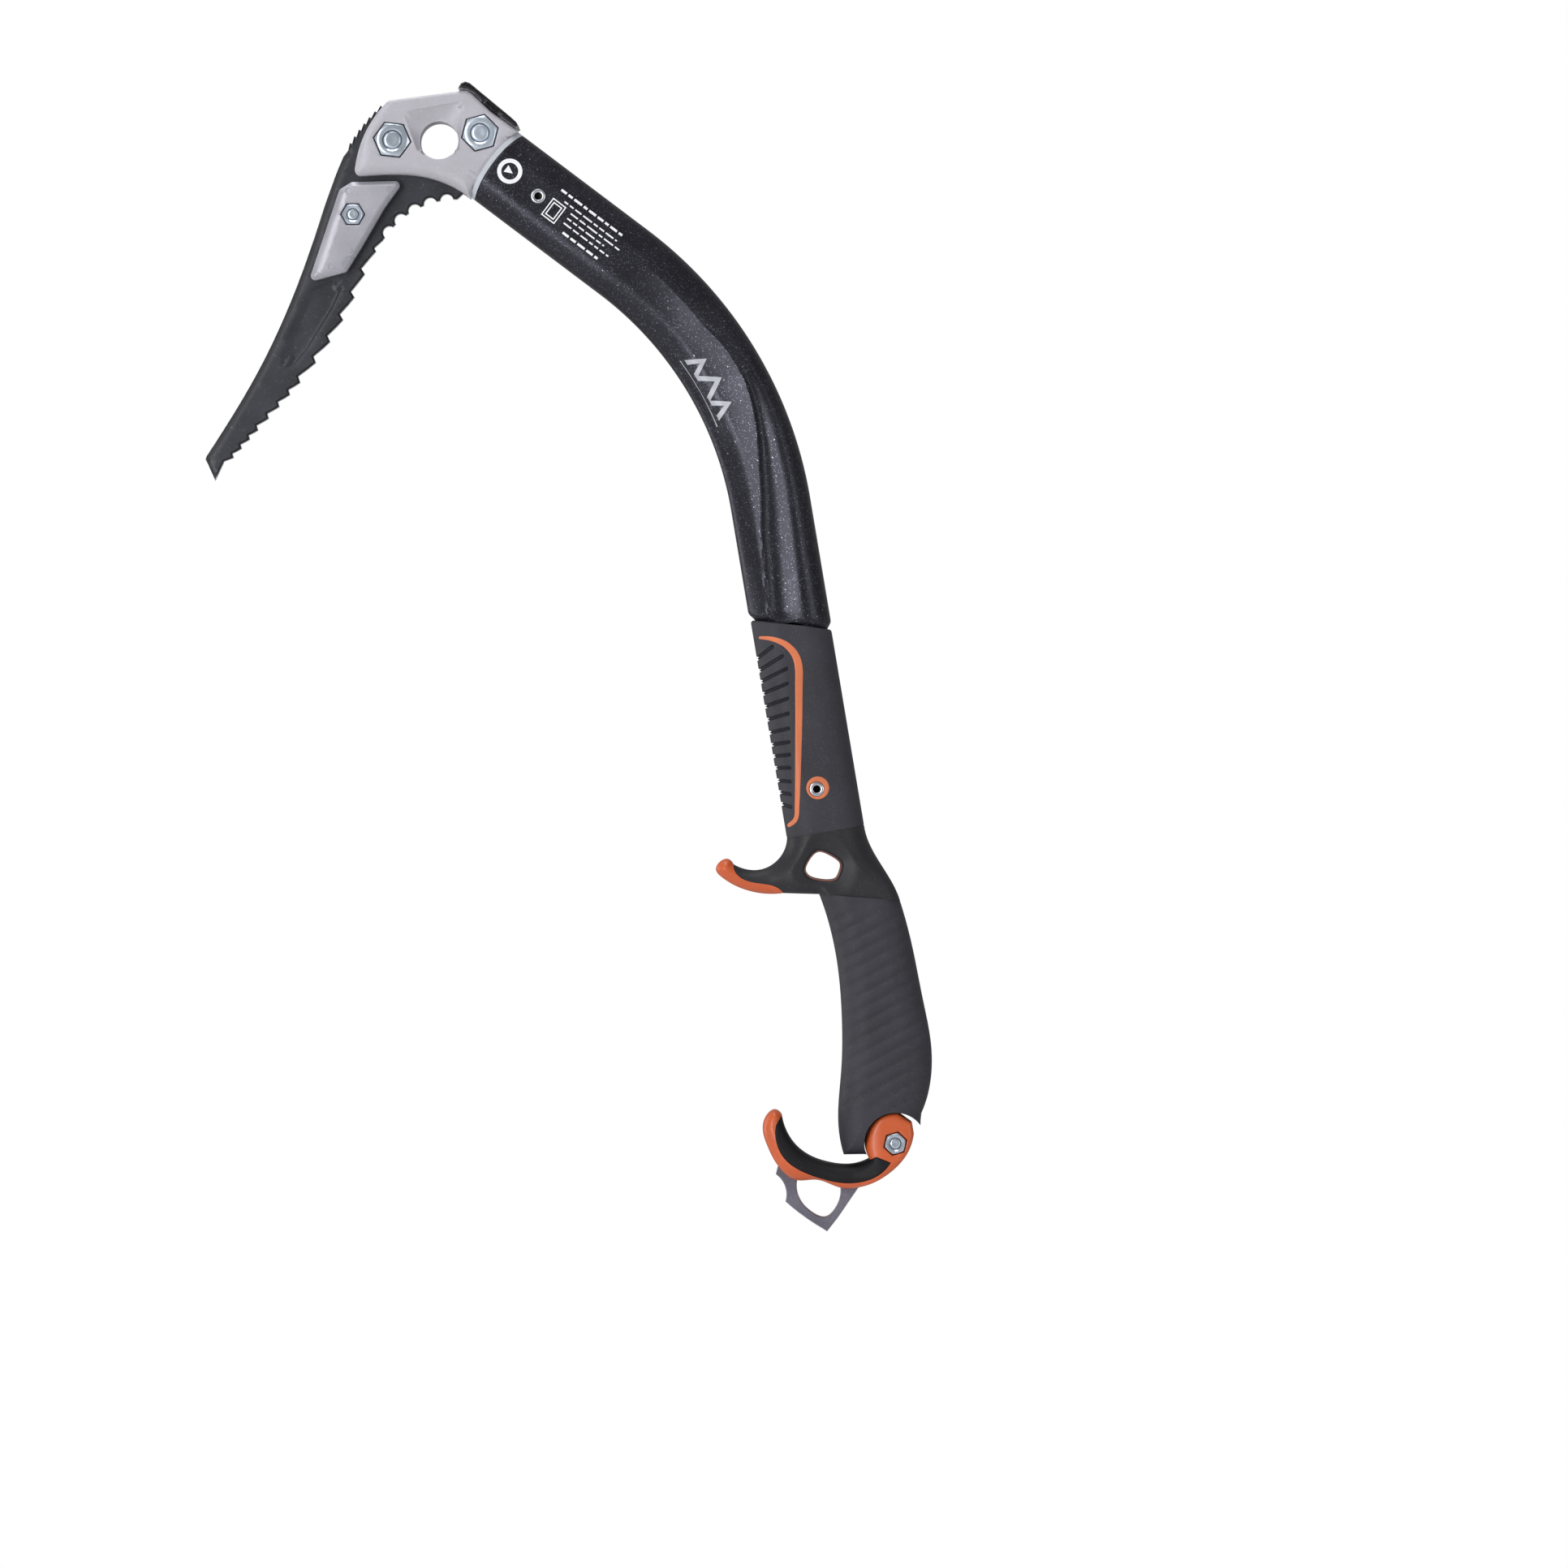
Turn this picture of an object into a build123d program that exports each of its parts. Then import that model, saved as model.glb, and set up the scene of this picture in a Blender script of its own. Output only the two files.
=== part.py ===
from build123d import *
import os
from math import cos, sin, radians

os.makedirs("parts", exist_ok=True)

# A technical ice axe, in millimetres.  The origin is the centre of the carabiner hole in the head.
# X runs from the pick back towards the shaft, Z is up, and Y runs across the tool: the left side
# of the tool, where the nuts are, is the -Y side.

# ---------------------------------------------------------------- driving dimensions
# Head and its fasteners
head_width = 21.0            # across the two cheeks
carabiner_hole_r = 8.0
head_edge_bevel = 1.6
pick_thickness = 4.0
pick_slot_gap = 0.15         # between the pick and each cheek
pick_bolt_r = 4.0            # M8
pick_nut_across_flats = 13.0
pick_nut_height = 4.8
nut_pocket_gap = 0.5         # between a nut's flat and its pocket's wall
pick_pocket_depth = 4.3
thread_gap = 0.05            # drawn between a bolt and whatever it passes through
nut_chamfer = 0.45
bolt_head_chamfer = 0.5
bolt_end_chamfer = 0.8
pick_bolt_inset = 0.4        # of a bolt's end, below its nut's face
small_bolt_inset = 0.3
cut_reach = 8.0              # of a pocket's cut, outside its floor
front_bolt_at = (-19.2, 0.0)
rear_bolt_at = (17.0, 2.9)
front_nut_turn = -6.5        # degrees, of the first corner from +X
rear_nut_turn = 15.0
recess_depth = 1.4           # of the dished area round the carabiner hole
recess_corner_r = 2.6
recess_hole_margin = 1.1     # of the dish, round the hole
head_front_r = 2.4           # rounding of the nose's lower corner
head_top_r = 4.0             # rounding of the nose's upper corner

# Hammer
hammer_width = 23.0
hammer_ear_thickness = 1.9
hammer_ear_r = 7.0
hammer_edge_r = 0.8          # rounding of the striking edge
ear_offset = 0.1             # between the pick and each ear
ear_gap = 0.25               # between each ear and the cheek
ear_seat_gap = 0.4           # round the ears' eyes

# Pick weights
weight_thickness = 5.8
weight_bevel = 1.6
weight_corner_r = 1.8
weight_bolt_r = 2.5          # M5
weight_nut_across_flats = 8.0
weight_nut_height = 3.6
weight_pocket_depth = 3.4
weight_bolt_at = (-35.6, -30.5)
pick_pocket_depth_in_blade = 0.5

# Shaft: a straight, a bend and a second straight, all in the XZ plane
shaft_start = (24.4, -10.8)  # centre of the head end
shaft_top_slope = 37.0       # degrees below the horizontal
shaft_top_length = 64.9
shaft_bend_r = 158.0
shaft_bend_angle = 43.5
shaft_depth = 33.2           # in the XZ plane
shaft_width = 24.0
shaft_corner_r = 10.5
shaft_wall = 1.8
neck_start = 41.5            # along the lower straight
neck_length = 13.0
neck_depth = 28.4            # of the tube inside the grip
neck_width = 20.4
lower_length = 135.6
end_bulge = 2.3              # of the head end of the shaft, towards the head
end_bulge_r = 57.0
collar_thickness = 2.0
tenon_gap = 0.1
head_tenon_length = 30.0
head_rivet_at = 20.9         # from the shaft's end, along its axis

# Handle
grip_depth = 32.4
grip_width = 25.6
grip_corner_r = 11.6
grip_top_at = (145.4, -200.0)
grip_top_slope = -5.7        # degrees, of the grip's top edge
parting_at = 137.6           # along the lower straight, where the grip meets the trigger cover
rib_count = 13
first_rib_at = 8.0           # above the trigger cover
rib_overcut = 2.0            # of a rib's groove, outside the skin
rib_pitch = 5.6
rib_depth = 0.7
rib_height = 2.4
inlay_depth = 1.0            # of the stripe in the rubber
inlay_proud = 0.15
inlay_stroke = 3.0
handle_rivet_at = (156.0, -267.9)
rivet_ring_at = (156.4, -267.4)
rivet_ring_r = 4.8
rivet_flange_r = 3.05
rivet_flange_height = 0.6
rivet_shank_r = 2.1
rivet_bore_r = 1.45
rivet_chamfer = 0.3
rivet_floor = 1.0            # left at the blind end of the bore
rivet_proud = 0.1            # of a handle rivet's flange, outside the rubber
head_rivet_length = 5.0
handle_rivet_length = 8.0
core_tenon_length = 44.0
core_thickness = 12.7        # of the core below the trigger, and across the two pivot ears
core_corner_flat = 0.6       # left between the tenon's corners, each side
core_overlap = 3.0           # of the tenon, below the grip's lower edge
trigger_width = 25.6
trigger_hook_width = 18.0
trigger_hole_lining = 1.6
trigger_hole_r = 2.0         # rounding of the hole's corners
lower_grip_width = 28.0
lower_grip_bevel = 4.0

# Griprest and its pivot
pivot_at = (188.4, -414.1)
pivot_bolt_r = 2.5           # M5
pivot_running_gap = 0.05     # radial, bolt in bush
bush_r = 3.6
ear_r = 5.9
ear_length = 24.0            # of the ears' bar, up into the core
fork_root_reach = 8.5        # of the fork's slot, above the pivot
fork_root_margin = 4.0       # of the slot, each side of the ears
fork_eye_margin = 2.0        # of the slot, round the pivot
fork_gap = 4.7               # between the core's two ears
spike_thickness = 4.0
side_gap = 0.35              # between the ears and what turns beside them
knuckle_r = 12.5
knuckle_corner_drop = 1.64   # of the knuckle's rear corner, inside its arc
knuckle_gap = 0.6
griprest_width = 26.0
griprest_hook_width = 21.0
griprest_swing = 5.0         # degrees each way
ear_clearance = 0.5          # round the ears at the ends of the swing
ear_room_length = 30.0       # of the room for the ears, above the pivot
griprest_bevel = 1.2
pivot_nut_across_flats = 8.0
pivot_nut_height = 4.0
pivot_nut_turn = 17.0
pivot_pocket_depth = 4.0
pad_cover = 2.6              # of the pad over the shell's web
web_width = 15.0


# ---------------------------------------------------------------- planes, points and outlines
def side_plane(y=0.0):
    """The XZ plane at this Y; its sketches have X across and Z up, and its normal is -Y."""
    return Plane.XZ.offset(-y)


def along(start, direction, distance):
    return (start[0] + direction[0] * distance, start[1] + direction[1] * distance)


def at_angle(center, radius, angle):
    """The point this far from a centre, at an angle in degrees from +X towards +Z."""
    return (center[0] + radius * cos(radians(angle)), center[1] + radius * sin(radians(angle)))


def cross_plane(point, direction):
    """A plane square to the shaft's line at a point of the XZ plane, local X in that plane."""
    return Plane(
        origin=(point[0], 0, point[1]),
        x_dir=(-direction[1], 0, direction[0]),
        z_dir=(direction[0], 0, direction[1]),
    )


def outline(points, y=0.0, rounding=0.0):
    """A flat face in the side plane with straight sides, and rounded corners if asked."""
    with BuildSketch(side_plane(y)) as face:
        with BuildLine():
            Polyline(*points, close=True)
        make_face()
        if rounding > 0:
            fillet(face.vertices(), rounding)
    return face.sketch


def disc(center, radius, y=0.0):
    with BuildSketch(side_plane(y)) as face:
        with Locations(center):
            Circle(radius)
    return face.sketch


def hexagon(center, across_flats, turn, y=0.0):
    with BuildSketch(side_plane(y)) as face:
        with Locations(center):
            RegularPolygon(across_flats / 2, 6, major_radius=False, rotation=turn)
    return face.sketch


def section(plane, depth, width, corner_r):
    with BuildSketch(plane) as face:
        RectangleRounded(depth, width, corner_r)
    return face.sketch


def hex_nut(center, across_flats, turn, seat_y, height, bore_r, outward):
    """A nut whose seat is at seat_y; outward is -1 for the left side, +1 for the right."""
    with BuildPart() as nut:
        extrude(hexagon(center, across_flats, turn, seat_y), amount=-outward * height)
        extrude(disc(center, bore_r, seat_y), amount=-outward * height, mode=Mode.SUBTRACT)
        corner_ring = nut.faces().sort_by(Axis.Y)[0 if outward < 0 else -1].outer_wire().edges()
        chamfer(corner_ring, nut_chamfer)
    return nut.part


def hex_bolt(center, across_flats, turn, seat_y, head_height, shank_r, end_y):
    """A bolt with its head on the right side and a domed end on the left."""
    with BuildPart() as bolt:
        extrude(hexagon(center, across_flats, turn, seat_y), amount=-head_height)
        head_ring = bolt.faces().sort_by(Axis.Y)[-1].outer_wire().edges()
        chamfer(head_ring, bolt_head_chamfer)
        extrude(disc(center, shank_r, seat_y), amount=seat_y - end_y)
        end_ring = bolt.faces().sort_by(Axis.Y)[0].edges()
        chamfer(end_ring, bolt_end_chamfer)
    return bolt.part


def blind_rivet(center, face_y, outward, length):
    """A tubular rivet: its flange stands on face_y and its shank goes into the tool."""
    with BuildPart() as rivet:
        extrude(disc(center, rivet_flange_r, face_y), amount=-outward * rivet_flange_height)
        outer = rivet.faces().sort_by(Axis.Y)[0 if outward < 0 else -1].edges()
        chamfer(outer, rivet_chamfer)
        extrude(disc(center, rivet_shank_r, face_y), amount=outward * length)
        bore_start = face_y + outward * rivet_flange_height
        bore_length = rivet_flange_height + length - rivet_floor
        extrude(disc(center, rivet_bore_r, bore_start), amount=outward * bore_length,
                mode=Mode.SUBTRACT)
    return rivet.part


# ---------------------------------------------------------------- shaft line
top_dir = (cos(radians(shaft_top_slope)), -sin(radians(shaft_top_slope)))
low_slope = shaft_top_slope + shaft_bend_angle
low_dir = (cos(radians(low_slope)), -sin(radians(low_slope)))
top_side = (-top_dir[1], top_dir[0])          # towards the outside of the bend
low_side = (-low_dir[1], low_dir[0])
bend_start = along(shaft_start, top_dir, shaft_top_length)
bend_center = along(bend_start, top_side, -shaft_bend_r)
bend_end = along(bend_center, low_side, shaft_bend_r)
neck_top = along(bend_end, low_dir, neck_start)
neck_bottom = along(neck_top, low_dir, neck_length)
shaft_end = along(bend_end, low_dir, lower_length)
bulge_center = along(shaft_start, top_dir, end_bulge_r - end_bulge)
end_allowance = 6.0                           # extra length, trimmed by the bulged end
cut_margin = 4.0                              # of a trimming block, past what it trims
bulge_cut_length = 9.0                        # of the trimming block, below the shaft's start

cheek_y = head_width / 2
head_rivet_point = along(shaft_start, top_dir, head_rivet_at)

# ---------------------------------------------------------------- shaft tube
with BuildLine(Plane.XZ) as shaft_line:
    first_point = along(shaft_start, top_dir, -end_allowance)
    upper_run = Line(first_point, bend_start)
    bend_run = JernArc(bend_start, top_dir, shaft_bend_r, -shaft_bend_angle)
    lower_run = Line(bend_run @ 1, neck_top)

upper_end = cross_plane(first_point, top_dir)
neck_planes = (cross_plane(neck_top, low_dir), cross_plane(neck_bottom, low_dir))


def tube_solid(inset):
    """The shaft as a solid bar, its surface this far inside the outer skin."""
    corner = shaft_corner_r - inset
    depth, width = shaft_depth - 2 * inset, shaft_width - 2 * inset
    thin_depth, thin_width = neck_depth - 2 * inset, neck_width - 2 * inset
    thin_corner = min(corner, thin_width / 2 - 0.5)
    with BuildPart() as bar:
        sweep(section(upper_end, depth, width, corner), path=shaft_line.wire())
        top = section(neck_planes[0], depth, width, corner)
        bottom = section(neck_planes[1], thin_depth, thin_width, thin_corner)
        loft([top, bottom])
        extrude(bottom, amount=lower_length - neck_start - neck_length)
    return bar.part


def beyond_bulge(radius):
    """What lies on the head side of an arc about the bulge centre, to cut from shaft or tenon."""
    near = along(shaft_start, top_dir, -end_allowance - cut_margin)
    far = along(shaft_start, top_dir, bulge_cut_length)
    reach = shaft_depth * 0.75
    corners = [along(near, top_side, reach), along(far, top_side, reach),
               along(far, top_side, -reach), along(near, top_side, -reach)]
    with BuildPart() as block:
        extrude(outline(corners), amount=shaft_width, both=True)
        extrude(disc(bulge_center, radius), amount=shaft_width + 1, both=True, mode=Mode.SUBTRACT)
    return block.part


skin = tube_solid(0.0)
hollow = tube_solid(shaft_wall)
with BuildPart() as shaft_tube:
    add(skin)
    add(hollow, mode=Mode.SUBTRACT)
    add(beyond_bulge(end_bulge_r), mode=Mode.SUBTRACT)
    for rivet_point in (head_rivet_point, handle_rivet_at):
        extrude(disc(rivet_point, rivet_shank_r + thread_gap), amount=shaft_width, both=True,
                mode=Mode.SUBTRACT)
shaft_tube.part.label = "shaft_tube"
export_step(shaft_tube.part, "parts/shaft_tube.step")

# ---------------------------------------------------------------- head
tenon_inset = shaft_wall + tenon_gap
tenon_plane = cross_plane(along(shaft_start, top_dir, -end_bulge - cut_margin), top_dir)
tenon_bar = section(tenon_plane, shaft_depth - 2 * tenon_inset, shaft_width - 2 * tenon_inset,
                    shaft_corner_r - tenon_inset)
collar_r = end_bulge_r + collar_thickness
collar_bar = section(tenon_plane, shaft_depth, shaft_width, shaft_corner_r)

head_corners = {
    "front_bottom": (-35.0, -14.7), "front_top": (-20.9, 16.3), "peak": (11.4, 20.5),
    "slope_top": (13.6, 19.3), "slope_knee": (21.5, 11.9), "slope_end": (34.5, 2.4),
    "neck_top": (40.0, -3.0), "neck_bottom": (20.0, -30.0), "bottom_rear": (13.8, -24.3),
}
with BuildSketch(side_plane(0)) as head_face:
    with BuildLine():
        Spline(head_corners["bottom_rear"], (3.6, -18.0), (-7.5, -14.6), (-20.0, -13.9),
               head_corners["front_bottom"])
        ThreePointArc(head_corners["front_bottom"], (-31.1, 1.5), head_corners["front_top"])
        Polyline(*[head_corners[name] for name in (
            "front_top", "peak", "slope_top", "slope_knee", "slope_end", "neck_top",
            "neck_bottom", "bottom_rear")])
    make_face()
    fillet(head_face.vertices().group_by(Axis.X)[0], head_front_r)
    fillet(head_face.vertices().sort_by_distance(head_corners["front_top"])[0], head_top_r)

slot_half = pick_thickness / 2 + pick_slot_gap
ear_slot_half = pick_thickness / 2 + hammer_ear_thickness + ear_gap
tang_top = 12.6                               # top edge of the pick inside the head
slot_rear_r = 8.4                             # round the rear bolt
pick_slot = outline([(-60, -40), (rear_bolt_at[0] + 4, -40), (rear_bolt_at[0] + slot_rear_r, -9),
                     (rear_bolt_at[0] + slot_rear_r, 5), (rear_bolt_at[0] + 3, tang_top),
                     (-24, tang_top + 3), (-60, 30)])
ear_points = [(13.0, 19.8), (27.0, 8.0), (rear_bolt_at[0] + 6.9, 2.2), (rear_bolt_at[0] - 6.9, 2.2)]
ear_slot_points = [(11.5, 23.0), (29.0, 8.8), (rear_bolt_at[0] + 7.3, 1.8),
                   (rear_bolt_at[0] - 7.3, 1.8)]
recess_corners = [(-14.6, 12.3), (10.7, 16.9), (8.0, -4.0), (-8.0, -4.0)]
hex_turns = {front_bolt_at: front_nut_turn, rear_bolt_at: rear_nut_turn}

with BuildPart() as head:
    extrude(head_face.sketch, amount=cheek_y, both=True)
    for rim_face in (head.faces().sort_by(Axis.Y)[0], head.faces().sort_by(Axis.Y)[-1]):
        chamfer(rim_face.outer_wire().edges(), head_edge_bevel)
    extrude(disc(bulge_center, collar_r), amount=head_width, both=True, mode=Mode.SUBTRACT)
    extrude(tenon_bar, amount=head_tenon_length + end_bulge + cut_margin)
    extrude(pick_slot, amount=slot_half, both=True, mode=Mode.SUBTRACT)
    extrude(outline(ear_slot_points), amount=ear_slot_half, both=True, mode=Mode.SUBTRACT)
    extrude(disc(rear_bolt_at, hammer_ear_r + ear_seat_gap), amount=ear_slot_half, both=True,
            mode=Mode.SUBTRACT)
    for side in (-1, 1):
        floor_y = side * (cheek_y - recess_depth)
        extrude(outline(recess_corners, floor_y, recess_corner_r), amount=-side * cut_reach,
                mode=Mode.SUBTRACT)
        extrude(disc((0, 0), carabiner_hole_r + recess_hole_margin, floor_y),
                amount=-side * cut_reach, mode=Mode.SUBTRACT)
        pocket_y = side * (cheek_y - pick_pocket_depth)
        for point, turn in hex_turns.items():
            extrude(hexagon(point, pick_nut_across_flats + 2 * nut_pocket_gap, turn, pocket_y),
                    amount=-side * cut_reach, mode=Mode.SUBTRACT)
    extrude(disc((0, 0), carabiner_hole_r), amount=head_width, both=True, mode=Mode.SUBTRACT)
    for point in hex_turns:
        extrude(disc(point, pick_bolt_r + 2 * thread_gap), amount=head_width, both=True,
                mode=Mode.SUBTRACT)
    extrude(disc(head_rivet_point, rivet_shank_r + thread_gap), amount=shaft_width, both=True,
            mode=Mode.SUBTRACT)
head.part.label = "head"
export_step(head.part, "parts/head.step")

with BuildPart() as shaft_collar:
    extrude(collar_bar, amount=end_allowance + end_bulge + 8)
    extrude(disc(bulge_center, collar_r), amount=shaft_width, both=True, mode=Mode.INTERSECT)
    extrude(disc(bulge_center, end_bulge_r), amount=shaft_width, both=True, mode=Mode.SUBTRACT)
    extrude(tenon_bar, amount=head_tenon_length, mode=Mode.SUBTRACT)
shaft_collar.part.label = "shaft_collar"
export_step(shaft_collar.part, "parts/shaft_collar.step")

# ---------------------------------------------------------------- pick
# The underside runs from the point to the square teeth near the shaft.  Each group of hooked
# teeth has its own pitch and depth, and they grow towards the hand.
pick_point = (-92.9, -140.2)
first_tooth = (-85.3, -130.8)
hooked_teeth = [(3, 5.05, 1.5), (4, 6.6, 1.8), (6, 10.5, 2.3), (1, 5.2, 1.3)]  # count, pitch, depth
square_teeth = 6
square_pitch = 7.05
square_land = 1.7
square_depth = 2.3
back_teeth = 7
back_depth = 1.0
back_lip = 0.3               # from the root of one back tooth to the tip of the next
root_share = 0.65            # a hooked tooth's root, behind its tip, over its depth
waist_at = 0.62              # the shallow place before the next tip, over the pitch
waist_share = 0.42           # how deep the blade is cut there, over the tooth's depth
tang_gap = 0.8               # between the tang and the slot's rear end
tang_top_drop = 0.6          # of the tang's rear corner
pick_hole_margin = 0.4       # of the blade's hole, round the head's
blade_pocket_r = 1.2

with BuildLine(Plane.XZ) as tooth_line:
    Spline(first_tooth, (-70.8, -114.6), (-51.4, -91.6), (-35.4, -64.7), (-24.6, -42.4),
           (-14.1, -30.6), (-1.4, -24.8), (9.0, -23.9))
with BuildLine(Plane.XZ) as back_line:
    ThreePointArc((-38.9, -3.4), (-32.6, 6.2), (-24.5, 15.0))


def on_line(line, distance, inward=0.0):
    """A point this far along a line, moved sideways towards the inside of the blade."""
    edge = line.edge()
    point = edge.position_at(distance, position_mode=PositionMode.LENGTH)
    tangent = edge.tangent_at(distance, position_mode=PositionMode.LENGTH)
    return (point.X - tangent.Z * inward, point.Z + tangent.X * inward)


def hooked_teeth_points():
    """Tip, then the root just behind it, then a shallow curve up to the next tip."""
    points = []
    distance = 0.0
    for count, pitch, depth in hooked_teeth:
        for _ in range(count):
            points.append(on_line(tooth_line, distance))
            points.append(on_line(tooth_line, distance + root_share * depth, depth))
            points.append(on_line(tooth_line, distance + waist_at * pitch, waist_share * depth))
            distance += pitch
    return points, distance


def square_tooth_edges(distance):
    """Flat-topped teeth parted by round gullets, ending at the shaft."""
    for index in range(square_teeth):
        land_end = distance + square_land
        Line(on_line(tooth_line, distance), on_line(tooth_line, land_end))
        if index < square_teeth - 1:
            next_land = distance + square_pitch
            middle = (land_end + next_land) / 2
            ThreePointArc(on_line(tooth_line, land_end), on_line(tooth_line, middle, square_depth),
                          on_line(tooth_line, next_land))
            distance = next_land
    return on_line(tooth_line, land_end)


def back_teeth_points():
    step = back_line.edge().length / back_teeth
    points = []
    for index in range(back_teeth):
        points.append(on_line(back_line, index * step + back_lip, -back_depth))
        points.append(on_line(back_line, (index + 1) * step))
    return points


teeth_points, square_start = hooked_teeth_points()
back_points = back_teeth_points()
spine_points = [(-39.9, -6.2), (-43.6, -15.2), (-52.7, -42.0), (-62.8, -68.9), (-75.6, -95.8),
                (-91.7, -122.7), (-96.6, -130.2)]
tang_rear = (rear_bolt_at[0] + slot_rear_r - tang_gap, -9.5)
with BuildSketch(side_plane(0)) as pick_face:
    with BuildLine():
        Polyline(pick_point, (-89.2, -132.3), *teeth_points, on_line(tooth_line, square_start))
        last_land = square_tooth_edges(square_start)
        Polyline(last_land, (10.9, -20.5), (18.5, -16.5), tang_rear, (tang_rear[0], 4.5),
                 (rear_bolt_at[0] + 2.5, tang_top - tang_top_drop), (-21.5, tang_top),
                 back_points[-1])
        Polyline(*reversed(back_points), spine_points[0])
        Spline(*spine_points)
        Polyline(spine_points[-1], (-96.9, -131.5), pick_point)
    make_face()

blade_pocket = [(-53.4, -60.8), (-44.8, -57.0), (-38.9, -58.4), (-43.8, -69.0), (-54.1, -85.8),
                (-59.3, -92.3), (-66.2, -95.2), (-62.2, -80.5)]
with BuildPart() as pick:
    extrude(pick_face.sketch, amount=pick_thickness / 2, both=True)
    extrude(disc((0, 0), carabiner_hole_r + pick_hole_margin), amount=pick_thickness, both=True,
            mode=Mode.SUBTRACT)
    for point in (front_bolt_at, rear_bolt_at):
        extrude(disc(point, pick_bolt_r + 2 * thread_gap), amount=pick_thickness, both=True,
                mode=Mode.SUBTRACT)
    extrude(disc(weight_bolt_at, weight_bolt_r + 2 * thread_gap), amount=pick_thickness,
            both=True, mode=Mode.SUBTRACT)
    for side in (-1, 1):
        pocket_floor = side * (pick_thickness / 2 - pick_pocket_depth_in_blade)
        extrude(outline(blade_pocket, pocket_floor, blade_pocket_r), amount=-side * cut_reach,
                mode=Mode.SUBTRACT)
pick.part.label = "pick"
export_step(pick.part, "parts/pick.step")

# ---------------------------------------------------------------- pick bolts and nuts
bolt_seat_y = cheek_y - pick_pocket_depth
for end_name, center in (("front", front_bolt_at), ("rear", rear_bolt_at)):
    with BuildPart() as pick_bolt:
        add(hex_bolt(center, pick_nut_across_flats, hex_turns[center], bolt_seat_y,
                     pick_nut_height, pick_bolt_r,
                     -bolt_seat_y - pick_nut_height + pick_bolt_inset))
    pick_bolt.part.label = end_name + "_pick_bolt"
    export_step(pick_bolt.part, "parts/" + end_name + "_pick_bolt.step")
    with BuildPart() as pick_nut:
        add(hex_nut(center, pick_nut_across_flats, hex_turns[center], -bolt_seat_y,
                    pick_nut_height, pick_bolt_r + thread_gap, -1))
    pick_nut.part.label = end_name + "_pick_nut"
    export_step(pick_nut.part, "parts/" + end_name + "_pick_nut.step")

# ---------------------------------------------------------------- hammer
hammer_points = [(8.0, 21.3), (9.2, 23.3), (11.0, 24.1), (12.9, 23.4), (29.2, 9.9), (32.0, 7.4),
                 (33.0, 5.7), (31.4, 5.0), (27.0, 8.2), (21.6, 12.1), (13.9, 19.5), (11.5, 20.7)]
with BuildPart() as hammer:
    extrude(outline(hammer_points), amount=hammer_width / 2, both=True)
    upright_edges = hammer.edges().filter_by(Axis.Y).group_by(Axis.Z)[-1]
    fillet(upright_edges, hammer_edge_r)
    for side in (-1, 1):
        ear_y = side * (pick_thickness / 2 + ear_offset)
        extrude(outline(ear_points, ear_y), amount=-side * hammer_ear_thickness)
        extrude(disc(rear_bolt_at, hammer_ear_r, ear_y), amount=-side * hammer_ear_thickness)
    extrude(disc(rear_bolt_at, pick_bolt_r + 2 * thread_gap), amount=hammer_width, both=True,
            mode=Mode.SUBTRACT)
hammer.part.label = "hammer"
export_step(hammer.part, "parts/hammer.step")

# ---------------------------------------------------------------- pick weights
weight_points = [(-41.2, -20.2), (-36.2, -17.1), (-14.6, -16.6), (-22.8, -28.0), (-32.0, -43.9),
                 (-38.4, -54.2), (-54.0, -58.4)]
for side_name, side in (("left", -1), ("right", 1)):
    inner_y = side * pick_thickness / 2
    outer_y = side * (pick_thickness / 2 + weight_thickness)
    with BuildPart() as pick_weight:
        extrude(outline(weight_points, inner_y, weight_corner_r), amount=-side * weight_thickness)
        outer_rim = pick_weight.faces().sort_by(Axis.Y)[0 if side < 0 else -1].outer_wire().edges()
        chamfer(outer_rim, weight_bevel)
        extrude(hexagon(weight_bolt_at, weight_nut_across_flats + 2 * nut_pocket_gap, 0,
                        outer_y - side * weight_pocket_depth), amount=-side * cut_reach,
                mode=Mode.SUBTRACT)
        extrude(disc(weight_bolt_at, weight_bolt_r + 2 * thread_gap), amount=head_width, both=True,
                mode=Mode.SUBTRACT)
    pick_weight.part.label = "pick_weight_" + side_name
    export_step(pick_weight.part, "parts/pick_weight_" + side_name + ".step")

weight_seat_y = pick_thickness / 2 + weight_thickness - weight_pocket_depth
with BuildPart() as weight_screw:
    add(hex_bolt(weight_bolt_at, weight_nut_across_flats, 0, weight_seat_y, weight_nut_height,
                 weight_bolt_r, -weight_seat_y - weight_nut_height + small_bolt_inset))
weight_screw.part.label = "weight_screw"
export_step(weight_screw.part, "parts/weight_screw.step")

with BuildPart() as weight_nut:
    add(hex_nut(weight_bolt_at, weight_nut_across_flats, 0, -weight_seat_y, weight_nut_height,
                weight_bolt_r + thread_gap, -1))
weight_nut.part.label = "weight_nut"
export_step(weight_nut.part, "parts/weight_nut.step")

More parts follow.
